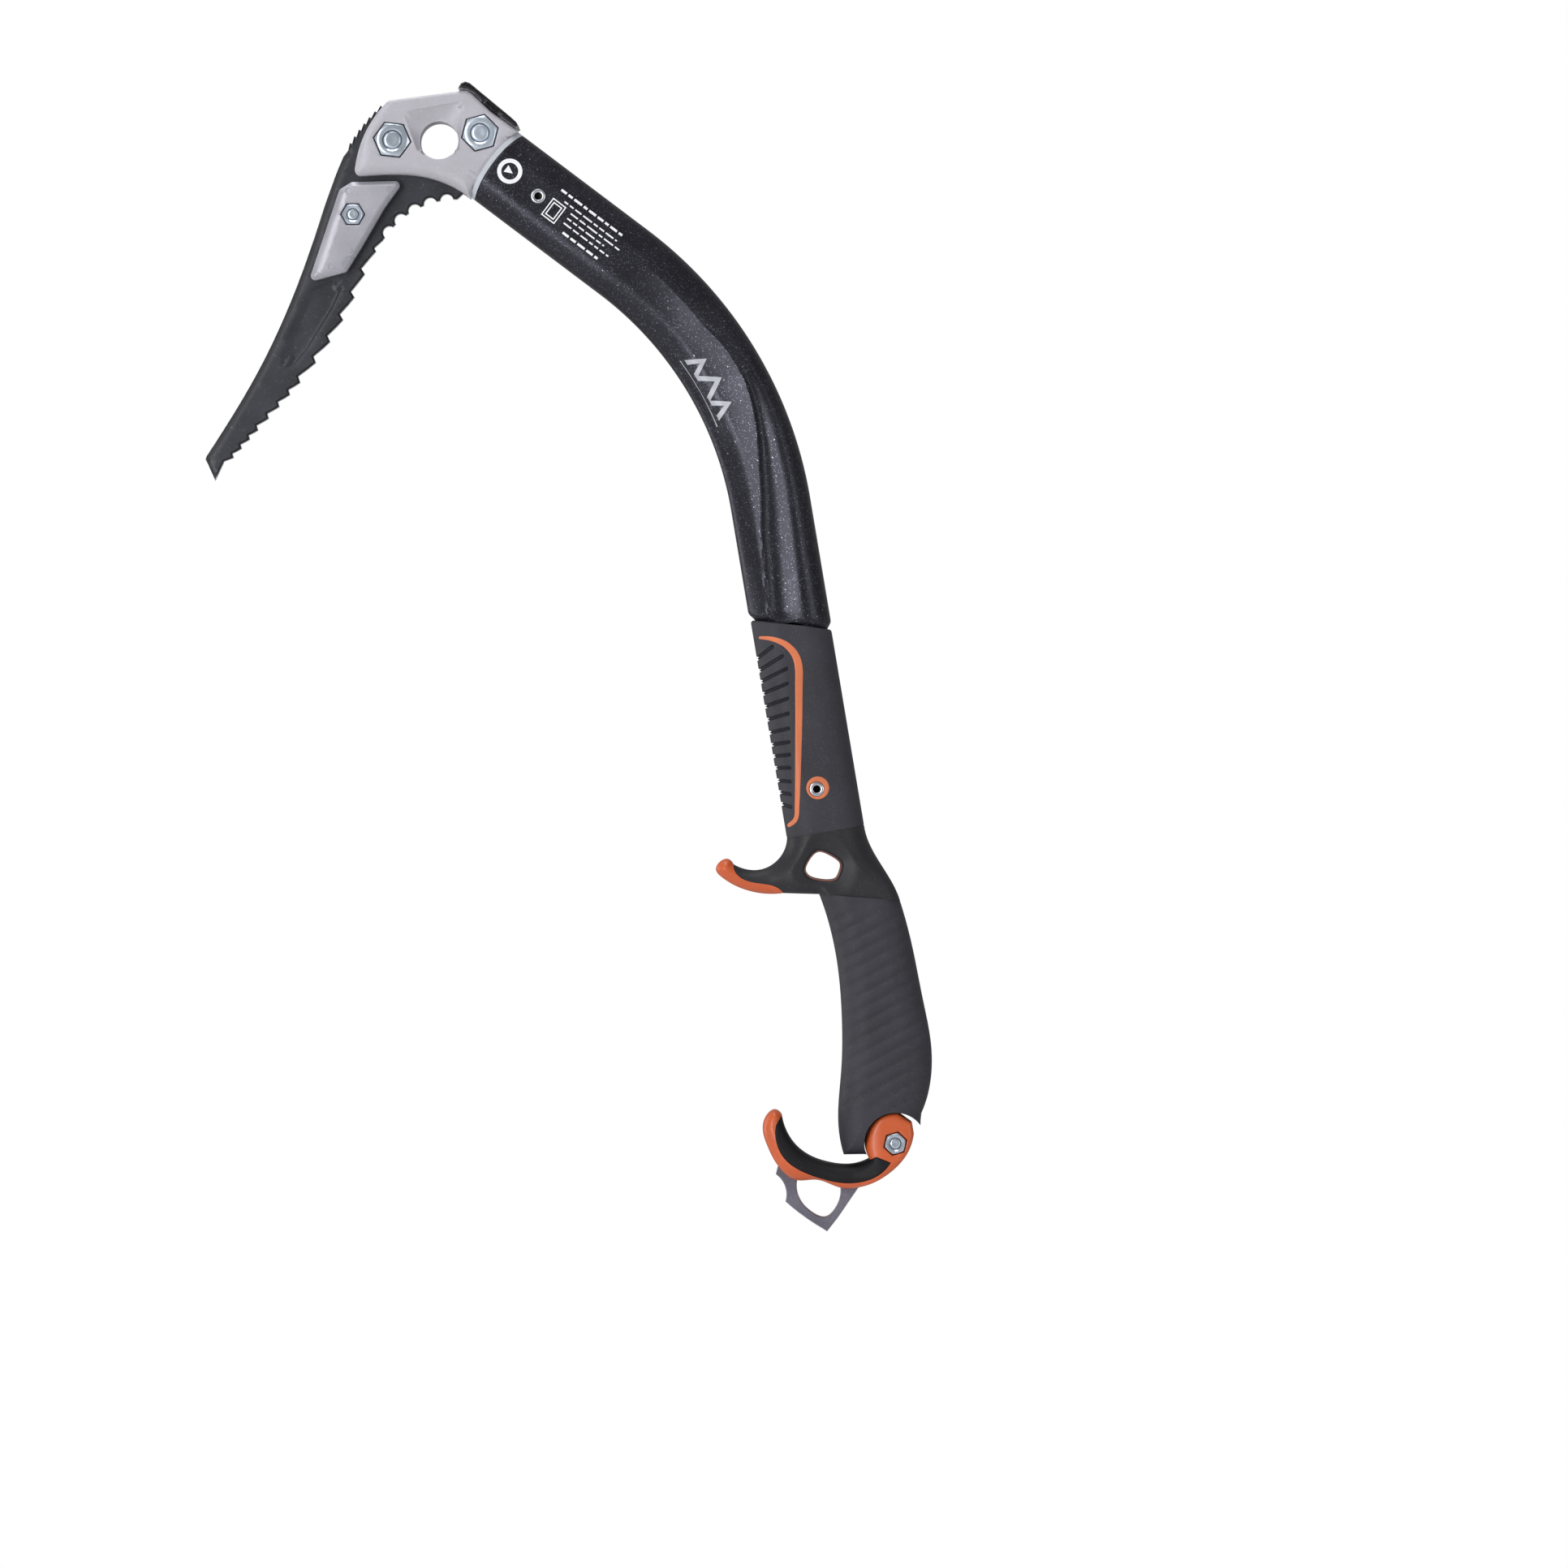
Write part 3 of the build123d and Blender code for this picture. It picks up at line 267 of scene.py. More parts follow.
# ---------------------------------------------------------------- meshes
def new_piece(name, verts, faces, finish, sharp=36, rim=None):
    mesh = bpy.data.meshes.new(name)
    mesh.from_pydata((np.asarray(verts, float) * MM).tolist(), [], faces)
    bm = bmesh.new()
    bm.from_mesh(mesh)
    bmesh.ops.recalc_face_normals(bm, faces=bm.faces)
    bm.to_mesh(mesh)
    bm.free()
    mesh.polygons.foreach_set("use_smooth", [True] * len(mesh.polygons))
    if rim is not None:
        layer = mesh.attributes.new("rim", "FLOAT", "POINT")
        layer.data.foreach_set("value", np.asarray(rim, np.float32))
    mesh.set_sharp_from_angle(angle=radians(sharp))
    mesh.materials.append(finish)
    piece = bpy.data.objects.new(name, mesh)
    bpy.context.scene.collection.objects.link(piece)
    return piece


def settle(piece, body, slot, *stands_for):
    """Ties a finished piece to its body and hides the CAD nodes it stands for; slot is not used."""
    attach(piece, body)
    if stands_for:
        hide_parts(*stands_for)


def joined(*solids):
    """One list of points and faces from several."""
    verts, faces = [], []
    for more_verts, more_faces in solids:
        start = len(verts)
        verts += [tuple(v) for v in more_verts]
        faces += [tuple(index + start for index in face) for face in more_faces]
    return verts, faces


def plate_mesh(loops, left, right, step=1.5, along=1.2, rings=(), features=()):
    """A solid whose two side surfaces stand left and right of the middle plane.

    left and right give the half thickness at points of the side plane, from the points and
    their distance from the border.  A feature is a loop and the insets where its edge bends.
    """
    outer = turned_to(spaced(loops[0], along), 1)
    borders = [outer] + [turned_to(spaced(loop, along), -1) for loop in loops[1:]]
    sides = sides_of(*borders)
    points, edges = [], []

    def add_chain(chain, kept):
        numbers = []
        for point, wanted in zip(chain, kept):
            numbers.append(len(points) if wanted else None)
            if wanted:
                points.append(point)
        for a, b in zip(numbers, numbers[1:] + numbers[:1]):
            if a is not None and b is not None:
                edges.append((a, b))

    for border in borders:
        add_chain(border, [True] * len(border))
    for border in borders:
        for ring in rings:
            chain = moved_in(border, ring)
            near = edge_distance(chain, sides)
            add_chain(chain, (near > ring * 0.97 - 0.01) & inside(chain, outer))
    lines = [sides]
    for loop, offsets in features:
        loop = turned_to(spaced(loop, along), 1)
        for offset in offsets:
            chain = moved_in(loop, offset)
            near = edge_distance(chain, sides_of(loop)) > abs(offset) * 0.97 - 0.005
            clear = inside(chain, outer) & (edge_distance(chain, sides) > 0.02)
            for border in borders[1:]:
                clear &= ~inside(chain, border)
            add_chain(chain, near & clear)
            lines.append(sides_of(chain))
    low, high = outer.min(axis=0), outer.max(axis=0)
    rows = np.arange(low[1], high[1], step * 0.866)
    grid = np.array([(x + (step / 2 if k % 2 else 0), z) for k, z in enumerate(rows)
                     for x in np.arange(low[0], high[0], step)])
    grid = grid[inside(grid, outer)]
    for border in borders[1:]:
        grid = grid[~inside(grid, border)]
    grid = grid[edge_distance(grid, sides) > max(rings, default=0) + step * 0.45]
    if len(lines) > 1 and len(grid):
        grid = grid[edge_distance(grid, np.concatenate(lines[1:])) > step * 0.4]
    points = [Vector((float(p[0]), float(p[1]))) for p in points + list(grid)]
    flat, _, triangles, _, _, _ = delaunay_2d_cdt(points, edges, [], 0, 1e-5)
    flat = np.array([(p.x, p.y) for p in flat])
    triangles = np.array(triangles)
    centres = flat[triangles].mean(axis=1)
    wanted = inside(centres, outer)
    for border in borders[1:]:
        wanted &= ~inside(centres, border)
    triangles = triangles[wanted]
    corners = flat[triangles]
    turn = ((corners[:, 1, 0] - corners[:, 0, 0]) * (corners[:, 2, 1] - corners[:, 0, 1])
            - (corners[:, 1, 1] - corners[:, 0, 1]) * (corners[:, 2, 0] - corners[:, 0, 0]))
    triangles[turn < 0] = triangles[turn < 0][:, ::-1]
    used = np.unique(triangles)
    number = np.full(len(flat), -1)
    number[used] = np.arange(len(used))
    triangles, flat = number[triangles], flat[used]
    gap = edge_distance(flat, sides)
    gap[gap < 1e-3] = 0
    count = len(flat)
    verts = [(p[0], -h, p[1]) for p, h in zip(flat, left(flat, gap))]
    verts += [(p[0], h, p[1]) for p, h in zip(flat, right(flat, gap))]
    faces = [tuple(int(i) for i in t) for t in triangles]
    faces += [tuple(int(i) + count for i in t[::-1]) for t in triangles]
    open_edges = set()
    for a, b, c in triangles.tolist():
        for edge in ((a, b), (b, c), (c, a)):
            if edge[::-1] in open_edges:
                open_edges.remove(edge[::-1])
            else:
                open_edges.add(edge)
    faces += [(b, a, a + count, b + count) for a, b in sorted(open_edges)]
    return verts, faces, np.concatenate([gap, gap])


def prism(loop, half, center=0.0):
    """A straight block over a loop, for cutting."""
    loop = turned_to(np.asarray(loop, float), 1)
    count = len(loop)
    verts = [(x, center - half, z) for x, z in loop] + [(x, center + half, z) for x, z in loop]
    faces = [tuple(range(count)), tuple(range(2 * count - 1, count - 1, -1))]
    faces += [((k + 1) % count, k, k + count, (k + 1) % count + count) for k in range(count)]
    return verts, faces


def carve(piece, *blocks, sharp=36):
    """Cuts blocks out of a piece and leaves a plain mesh."""
    for verts, faces in blocks:
        cutter = new_piece("cutter", verts, faces, piece.data.materials[0])
        step = piece.modifiers.new("cut", "BOOLEAN")
        step.operation = "DIFFERENCE"
        step.solver = "EXACT"
        step.object = cutter
        bpy.context.view_layer.update()
        cut = bpy.data.meshes.new_from_object(
            piece.evaluated_get(bpy.context.evaluated_depsgraph_get()))
        piece.modifiers.clear()
        if len(cut.polygons) < 4:
            raise RuntimeError("nothing is left of " + piece.name)
        piece.data = cut
        bpy.data.objects.remove(cutter)
    piece.data.polygons.foreach_set("use_smooth", [True] * len(piece.data.polygons))
    piece.data.set_sharp_from_angle(angle=radians(sharp))


def ring_faces(rows, columns, around=True, closed=False):
    """Quads of a grid of points, row after row; closed joins the last row to the first."""
    faces = []
    for row in range(rows if closed else rows - 1):
        below = ((row + 1) % rows) * columns
        for column in range(columns if around else columns - 1):
            after = (column + 1) % columns
            faces.append((row * columns + column, row * columns + after, below + after,
                          below + column))
    return faces


def lathe(center, outward, rows, across_flats=0.0, turn=0.0, count=96, closed=False):
    """A turned part about a cross axis: rows of (height outward, radius, hexagonal or not)."""
    angles = np.arange(count) * 2 * pi / count
    local = (angles - radians(turn)) % (pi / 3) - pi / 6
    flats = across_flats / 2 / np.cos(local)
    verts = []
    for height, radius, hexed in rows:
        reach = np.minimum(flats, radius) if hexed else np.full(count, radius)
        for angle, r in zip(angles, reach):
            verts.append((center[0] + r * cos(angle), outward * height,
                          center[1] + r * sin(angle)))
    faces = ring_faces(len(rows), count, closed=closed)
    if not closed:
        for row in (0, len(rows) - 1):
            verts.append((center[0], outward * rows[row][0], center[1]))
            hub = len(verts) - 1
            for k in range(count):
                a, b = row * count + k, row * count + (k + 1) % count
                faces.append((b, a, hub) if row == 0 else (a, b, hub))
    return verts, faces


# ---------------------------------------------------------------- shared shader groups
def wire(tree, kind, settings=None, sockets=None):
    """Adds a node; each socket gets a value, or a link where the value is another socket."""
    node = tree.nodes.new(kind)
    for key, value in (settings or {}).items():
        setattr(node, key, value)
    for key, value in (sockets or {}).items():
        if isinstance(value, bpy.types.NodeSocket):
            tree.links.new(value, node.inputs[key])
        else:
            node.inputs[key].default_value = value
    return node


def sums(tree, operation, *values):
    sockets = dict(enumerate(values))
    return wire(tree, "ShaderNodeMath", {"operation": operation}, sockets).outputs[0]


def ramp(tree, value, low, high):
    """0 below low and 1 above high, smoothly."""
    sockets = {"Value": value, "From Min": low, "From Max": high}
    return wire(tree, "ShaderNodeMapRange", {"interpolation_type": "SMOOTHSTEP"},
                sockets).outputs["Result"]


def mixed(tree, factor, first, second):
    node = wire(tree, "ShaderNodeMix", {"data_type": "RGBA"}, {"Factor": factor})
    for name, value in (("A", first), ("B", second)):
        socket = [s for s in node.inputs if s.name == name and s.type == "RGBA"][0]
        if isinstance(value, bpy.types.NodeSocket):
            tree.links.new(value, socket)
        else:
            socket.default_value = (*value, 1)
    return [s for s in node.outputs if s.type == "RGBA"][0]


def new_group(name, inputs, outputs):
    group = bpy.data.node_groups.new(name, "ShaderNodeTree")
    for socket, kind, default in inputs:
        item = group.interface.new_socket(name=socket, in_out="INPUT", socket_type=kind)
        if default is not None:
            item.default_value = default
    for socket in outputs:
        group.interface.new_socket(name=socket, in_out="OUTPUT", socket_type="NodeSocketFloat")
    return group, group.nodes.new("NodeGroupInput"), group.nodes.new("NodeGroupOutput")


VECTOR = ("Vector", "NodeSocketVector", None)


def number(name, default):
    return (name, "NodeSocketFloat", default)


def grain_group():
    """Fine moulding or casting grain, and a slow drift of tone."""
    group, given, result = new_group("Surface Grain", [VECTOR, number("Scale", 3.0)],
                                     ["Height", "Tone"])
    place = given.outputs["Vector"]
    fine = wire(group, "ShaderNodeTexNoise", None,
                {"Vector": place, "Scale": given.outputs["Scale"], "Detail": 3.0})
    slow = wire(group, "ShaderNodeTexNoise", None, {"Vector": place, "Scale": 0.06, "Detail": 4.0})
    group.links.new(fine.outputs["Fac"], result.inputs["Height"])
    group.links.new(ramp(group, slow.outputs["Fac"], 0.3, 0.7), result.inputs["Tone"])
    return group


def flake_group():
    """Bright flakes in a lacquer: a few small cells, each with its own strength."""
    group, given, result = new_group("Metal Flake", [VECTOR, number("Scale", 2.4),
                                                     number("Share", 0.2)], ["Mask"])
    cells = wire(group, "ShaderNodeTexVoronoi", None,
                 {"Vector": given.outputs["Vector"], "Scale": given.outputs["Scale"]})
    parts = wire(group, "ShaderNodeSeparateColor", None, {"Color": cells.outputs["Color"]})
    chosen = sums(group, "LESS_THAN", parts.outputs[0], given.outputs["Share"])
    near = ramp(group, cells.outputs["Distance"], 0.48, 0.12)
    bright = sums(group, "MULTIPLY", chosen, parts.outputs[1])
    group.links.new(sums(group, "MULTIPLY", bright, near), result.inputs["Mask"])
    return group


def wear_group():
    """Rubbed edges: strongest at the rim, broken up by noise."""
    group, given, result = new_group(
        "Edge Wear", [VECTOR, number("Rim", 1.0), number("Reach", 0.5), number("Scale", 0.9)],
        ["Mask"])
    noise = wire(group, "ShaderNodeTexNoise", None,
                 {"Vector": given.outputs["Vector"], "Scale": given.outputs["Scale"],
                  "Detail": 5.0, "Roughness": 0.65})
    uneven = sums(group, "MULTIPLY_ADD", noise.outputs["Fac"], 2.4, -0.4)
    reach = sums(group, "MAXIMUM", sums(group, "MULTIPLY", given.outputs["Reach"], uneven), 0.01)
    share = sums(group, "DIVIDE", given.outputs["Rim"], reach)
    group.links.new(ramp(group, share, 1.25, 0.55), result.inputs["Mask"])
    return group


def scratch_group():
    """Short fine scratches in several directions."""
    group, given, result = new_group("Fine Scratches", [VECTOR, number("Scale", 0.25),
                                                        number("Share", 0.45)], ["Mask"])
    total = None
    for turn, shift in ((0.5, 3.0), (1.9, 11.0), (2.7, 23.0)):
        turned = wire(group, "ShaderNodeVectorRotate", {"rotation_type": "Y_AXIS"},
                      {"Vector": given.outputs["Vector"], "Angle": turn})
        stretched = wire(group, "ShaderNodeMapping", None,
                         {"Vector": turned.outputs[0], "Location": (shift, shift, shift),
                          "Scale": (1.0, 1.0, 7.0)})
        cells = wire(group, "ShaderNodeTexVoronoi", {"feature": "DISTANCE_TO_EDGE"},
                     {"Vector": stretched.outputs[0], "Scale": given.outputs["Scale"]})
        broken = wire(group, "ShaderNodeTexNoise", None,
                      {"Vector": stretched.outputs[0], "Scale": 0.35, "Detail": 2.0})
        line = ramp(group, cells.outputs["Distance"], 0.035, 0.0)
        part = ramp(group, broken.outputs["Fac"], sums(group, "SUBTRACT", 1.0,
                                                       given.outputs["Share"]), 0.75)
        one = sums(group, "MULTIPLY", line, part)
        total = one if total is None else sums(group, "MAXIMUM", total, one)
    group.links.new(total, result.inputs["Mask"])
    return group


def speck_group():
    """Small separate specks, such as dust or pitting."""
    group, given, result = new_group("Specks", [VECTOR, number("Scale", 0.8),
                                                number("Share", 0.3)], ["Mask"])
    noise = wire(group, "ShaderNodeTexNoise", None,
                 {"Vector": given.outputs["Vector"], "Scale": given.outputs["Scale"],
                  "Detail": 6.0, "Roughness": 0.7})
    start = sums(group, "SUBTRACT", 0.8, sums(group, "MULTIPLY", given.outputs["Share"], 0.3))
    mask = ramp(group, noise.outputs["Fac"], start, sums(group, "ADD", start, 0.05))
    group.links.new(mask, result.inputs["Mask"])
    return group


GROUPS = {"grain": grain_group, "flake": flake_group, "wear": wear_group,
          "scratch": scratch_group, "speck": speck_group}


def shared(kind):
    """The shared group of this kind, built when it is first wanted."""
    holder = GROUPS[kind]
    if callable(holder):
        GROUPS[kind] = holder()
    return GROUPS[kind]


def linear(color):
    """Screen colour, 0 to 255, as the shader's own light values."""
    return tuple((c / 255 / 12.92) if c <= 10 else ((c / 255 + 0.055) / 1.055) ** 2.4
                 for c in color)


FINISHES = {
    # name: colour, roughness, metallic, coat, grain (scale, height in mm), drift of tone,
    #       layers of (group, its values, colour, roughness)
    "head_alloy": dict(
        color=(180, 178, 186), rough=0.5, metal=0.12, coat=0.0, grain=(5.0, 0.012), drift=0.05,
        layers=[("speck", {"Scale": 1.6, "Share": 0.42}, (140, 140, 150), 0.65),
                ("scratch", {"Scale": 0.16, "Share": 0.44}, (216, 216, 222), 0.35),
                ("wear", {"Reach": 0.3, "Scale": 0.7}, (210, 210, 216), 0.32)]),
    "collar_plastic": dict(
        color=(192, 196, 204), rough=0.5, metal=0.0, coat=0.0, grain=(4.0, 0.01), drift=0.06,
        layers=[("speck", {"Scale": 1.2, "Share": 0.35}, (150, 150, 155), 0.7)]),
    "pick_steel": dict(
        color=(52, 53, 59), rough=0.44, metal=0.45, coat=0.0, grain=(6.0, 0.012), drift=0.16,
        layers=[("speck", {"Scale": 2.4, "Share": 0.5}, (92, 94, 103), 0.55),
                ("scratch", {"Scale": 0.12, "Share": 0.4}, (112, 114, 124), 0.35),
                ("wear", {"Reach": 0.22, "Scale": 0.5}, (150, 152, 160), 0.3)]),
    # painted shade: a near-black copy of the pick steel for the spine and tooth bevels, standing in
    # for the shade where they turn from the light; its edge wear layer is real wear
    "pick_bevel_shade_and_wear": dict(
        color=(24, 24, 28), rough=0.38, metal=0.4, coat=0.0, grain=(6.0, 0.01), drift=0.1,
        layers=[("wear", {"Reach": 0.16, "Scale": 0.5}, (150, 152, 160), 0.3)]),
    "weight_steel": dict(
        color=(170, 169, 178), rough=0.42, metal=0.45, coat=0.0, grain=(4.0, 0.016), drift=0.06,
        layers=[("speck", {"Scale": 2.0, "Share": 0.6}, (120, 120, 130), 0.55),
                ("scratch", {"Scale": 0.14, "Share": 0.42}, (212, 212, 220), 0.3)]),
    "zinc_steel": dict(
        color=(196, 206, 218), rough=0.27, metal=0.75, coat=0.0, grain=(5.0, 0.006), drift=0.1,
        layers=[("speck", {"Scale": 1.6, "Share": 0.4}, (140, 146, 160), 0.5),
                ("scratch", {"Scale": 0.4, "Share": 0.4}, (226, 230, 240), 0.25)]),
    "hammer_steel": dict(
        color=(24, 24, 28), rough=0.36, metal=0.4, coat=0.0, grain=(4.0, 0.016), drift=0.12,
        layers=[("speck", {"Scale": 1.4, "Share": 0.3}, (60, 60, 66), 0.5),
                ("wear", {"Reach": 0.3, "Scale": 0.5}, (150, 150, 158), 0.28)]),
    "shaft_paint": dict(
        color=(50, 50, 57), rough=0.35, metal=0.8, coat=0.0, grain=(2.4, 0.036), shine=0.5,
        drift=0.08,
        layers=[("flake", {"Scale": 1.7, "Share": 0.5}, (126, 126, 142), 0.35),
                ("flake", {"Scale": 1.3, "Share": 0.03}, (176, 176, 190), 0.3)]),
    "rivet_steel": dict(
        color=(196, 198, 206), rough=0.28, metal=0.9, coat=0.0, grain=(4.0, 0.004), drift=0.05,
        layers=[("scratch", {"Scale": 0.5, "Share": 0.45}, (120, 120, 128), 0.4)]),
    "core_plastic": dict(
        color=(44, 44, 49), rough=0.6, metal=0.0, coat=0.0, grain=(3.0, 0.02), shine=0.3, drift=0.1,
        layers=[("speck", {"Scale": 1.5, "Share": 0.3}, (68, 68, 74), 0.7)]),
    "grip_rubber": dict(
        color=(55, 55, 62), rough=0.6, metal=0.0, coat=0.0, grain=(3.2, 0.03), shine=0.3,
        drift=0.12,
        layers=[("flake", {"Scale": 2.2, "Share": 0.16}, (96, 96, 105), 0.6),
                ("speck", {"Scale": 1.1, "Share": 0.3}, (88, 88, 96), 0.75)]),
    "inlay_orange": dict(
        color=(216, 118, 74), rough=0.5, metal=0.0, coat=0.0, grain=(3.0, 0.012), drift=0.08,
        layers=[("speck", {"Scale": 1.3, "Share": 0.3}, (204, 100, 58), 0.6)]),
    "trigger_rubber": dict(
        color=(37, 37, 42), rough=0.5, metal=0.0, coat=0.0, grain=(3.2, 0.02), shine=0.35,
        drift=0.12,
        layers=[("flake", {"Scale": 2.2, "Share": 0.14}, (78, 78, 86), 0.55)]),
    "griprest_orange": dict(
        color=(206, 92, 44), rough=0.4, metal=0.0, coat=0.15, grain=(2.6, 0.006), drift=0.06,
        layers=[("speck", {"Scale": 1.0, "Share": 0.2}, (192, 78, 36), 0.5),
                ("scratch", {"Scale": 0.14, "Share": 0.35}, (222, 120, 76), 0.42)]),
    "pad_rubber": dict(
        color=(20, 20, 23), rough=0.55, metal=0.0, coat=0.0, grain=(3.0, 0.03), shine=0.25,
        drift=0.12,
        layers=[("flake", {"Scale": 2.0, "Share": 0.12}, (48, 48, 53), 0.6)]),
    "spike_steel": dict(
        color=(118, 116, 128), rough=0.44, metal=0.7, coat=0.0, grain=(4.0, 0.02), drift=0.14,
        layers=[("speck", {"Scale": 2.2, "Share": 0.6}, (74, 72, 82), 0.55),
                ("scratch", {"Scale": 0.16, "Share": 0.4}, (176, 176, 186), 0.32),
                ("wear", {"Reach": 0.3, "Scale": 0.6}, (172, 170, 180), 0.32)]),
    "bush_bronze": dict(
        color=(150, 116, 74), rough=0.35, metal=0.9, coat=0.0, grain=(4.0, 0.006), drift=0.15,
        layers=[("scratch", {"Scale": 0.5, "Share": 0.45}, (190, 160, 110), 0.3)]),
    "mark_white": dict(
        color=(242, 242, 246), rough=0.5, metal=0.0, coat=0.0, grain=(4.0, 0.004), drift=0.04,
        layers=[("speck", {"Scale": 1.8, "Share": 0.4}, (160, 160, 166), 0.6)]),
    "mark_grey": dict(
        color=(176, 178, 186), rough=0.45, metal=0.2, coat=0.0, grain=(4.0, 0.004), drift=0.08,
        layers=[("speck", {"Scale": 1.8, "Share": 0.5}, (70, 70, 74), 0.6)]),
    "hole_lining": dict(
        color=(122, 78, 68), rough=0.5, metal=0.0, coat=0.1, grain=(3.0, 0.01), drift=0.1,
        layers=[("speck", {"Scale": 1.3, "Share": 0.35}, (104, 66, 58), 0.6)]),
    # painted shade: a dark brown copy of the rivet steel that stands in for the shade deep in the
    # rivets' bores
    "rivet_bore_painted_shade": dict(
        color=(38, 28, 24), rough=0.6, metal=0.2, coat=0.0, grain=(4.0, 0.004), drift=0.1,
        layers=[("speck", {"Scale": 1.5, "Share": 0.35}, (70, 52, 44), 0.6)]),
}


def finish(name):
    """The finish of this name, built when it is first wanted."""
    full_name = name + "_finish"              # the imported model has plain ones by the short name
    if full_name in bpy.data.materials:
        return bpy.data.materials[full_name]
    values = FINISHES[name]
    material = bpy.data.materials.new(full_name)
    material.use_nodes = True
    tree = material.node_tree
    shader = tree.nodes["Principled BSDF"]
    place = wire(tree, "ShaderNodeTexCoord").outputs["Object"]
    spot = wire(tree, "ShaderNodeVectorMath", {"operation": "SCALE"},
                {0: place, "Scale": 1 / MM}).outputs[0]
    rim = wire(tree, "ShaderNodeAttribute", {"attribute_name": "rim"}).outputs["Fac"]
    grain = wire(tree, "ShaderNodeGroup", {"node_tree": shared("grain")},
                 {"Vector": spot, "Scale": values["grain"][0]})
    base = linear(values["color"])
    drift = values["drift"]
    color = mixed(tree, grain.outputs["Tone"], [c * (1 - drift) for c in base],
                  [min(1.0, c * (1 + drift)) for c in base])
    rough = sums(tree, "MULTIPLY_ADD", grain.outputs["Tone"], 0.08, values["rough"] - 0.04)
    for kind, settings, layer_color, layer_rough in values["layers"]:
        sockets = {"Vector": spot, **settings}
        if kind == "wear":
            sockets["Rim"] = rim
        mask = wire(tree, "ShaderNodeGroup", {"node_tree": shared(kind)},
                    sockets).outputs["Mask"]
        color = mixed(tree, mask, color, linear(layer_color))
        rough = wire(tree, "ShaderNodeMix", None,
                     {0: mask, 2: rough, 3: layer_rough}).outputs[0]
    bump = wire(tree, "ShaderNodeBump", None,
                {"Height": grain.outputs["Height"], "Strength": 1.0,
                 "Distance": values["grain"][1] * MM})
    tree.links.new(color, shader.inputs["Base Color"])
    tree.links.new(rough, shader.inputs["Roughness"])
    tree.links.new(bump.outputs["Normal"], shader.inputs["Normal"])
    shader.inputs["Metallic"].default_value = values["metal"]
    shader.inputs["Coat Weight"].default_value = values["coat"]
    shader.inputs["Coat Roughness"].default_value = 0.25
    shader.inputs["Specular IOR Level"].default_value = values.get("shine", 0.5)
    return material


# ---------------------------------------------------------------- the shaft's line and section
START = np.array([24.4, -10.8])               # of the shaft's axis, at the head
TOP_SLOPE = radians(37.0)
TOP_LENGTH = 64.9
BEND_R = 158.0
BEND = radians(43.5)
BEND_LENGTH = BEND_R * BEND
TOP_DIR = np.array([cos(TOP_SLOPE), -sin(TOP_SLOPE)])
TOP_SIDE = np.array([sin(TOP_SLOPE), cos(TOP_SLOPE)])
LOW_DIR = np.array([cos(TOP_SLOPE + BEND), -sin(TOP_SLOPE + BEND)])
LOW_SIDE = np.array([sin(TOP_SLOPE + BEND), cos(TOP_SLOPE + BEND)])
BEND_CENTER = START + TOP_DIR * TOP_LENGTH - TOP_SIDE * BEND_R
BEND_END = BEND_CENTER + LOW_SIDE * BEND_R
LOW_START = TOP_LENGTH + BEND_LENGTH          # where the lower straight begins, along the line
SHAFT = (33.2, 24.0, 10.5)                    # depth, width, corner radius
NECK = (28.4, 20.4, 9.4)
NECK_REACH = 3.6                              # the tube narrows over this, above the grip
GRIP_TOP = np.array([145.4, -200.0])
GRIP_TOP_FALL = radians(5.7)
SHAFT_END = LOW_START + 135.6
PARTING = LOW_START + 137.6                   # where the upper grip meets the trigger
GRIP = (32.4, 25.6, 11.6)
BULGE_R, BULGE_CENTER = 57.0, 54.7            # of the shaft's rounded head end
COLLAR = 2.0
PIVOT = np.array([188.4, -414.1])


def line_at(s):
    """Points of the shaft's axis and the direction across it, at distances along it."""
    s = np.asarray(s, float)
    turn = np.clip((s - TOP_LENGTH) / BEND_R, 0, BEND) + TOP_SLOPE
    across = np.stack([np.sin(turn), np.cos(turn)], -1)
    top = START + TOP_DIR * s[..., None]
    bend = BEND_CENTER + across * BEND_R
    low = BEND_END + LOW_DIR * (s - LOW_START)[..., None]
    point = np.where((s < TOP_LENGTH)[..., None], top,
                     np.where((s < LOW_START)[..., None], bend, low))
    return point, across


def along_shaft(points):
    """Distance along the axis and distance across it, of points in the side plane."""
    p = np.asarray(points, float)
    arm = p - BEND_CENTER
    turn = np.arctan2(arm[..., 0], arm[..., 1]) - TOP_SLOPE
    s = np.where(turn < 0, (p - START) @ TOP_DIR,
                 np.where(turn > BEND, LOW_START + (p - BEND_END) @ LOW_DIR,
                          TOP_LENGTH + turn * BEND_R))
    u = np.where(turn < 0, (p - START) @ TOP_SIDE,
                 np.where(turn > BEND, (p - BEND_END) @ LOW_SIDE,
                          np.hypot(arm[..., 0], arm[..., 1]) - BEND_R))
    return s, u


def section_samples(front, side, back, end=10):
    """Places round a rounded rectangle: shares of its straight halves, and its normals."""
    places = []

    def corner(ka, kb, start, count):
        for k in range(count):
            angle = radians(start + 90 * k / count)
            places.append((ka, kb, cos(angle), sin(angle)))

    def straight(first, last, count):
        for k in range(count):
            t = k / count
            places.append(tuple(a + (b - a) * t for a, b in zip(first, last)))

    corner(-1, -1, 180, front)
    straight((-1, -1, 0, -1), (1, -1, 0, -1), side)
    corner(1, -1, 270, back)
    straight((1, -1, 1, 0), (1, 1, 1, 0), end)
    corner(1, 1, 0, back)
    straight((1, 1, 0, 1), (-1, 1, 0, 1), side)
    corner(-1, 1, 90, front)
    straight((-1, 1, -1, 0), (-1, -1, -1, 0), end)
    return np.array(places)


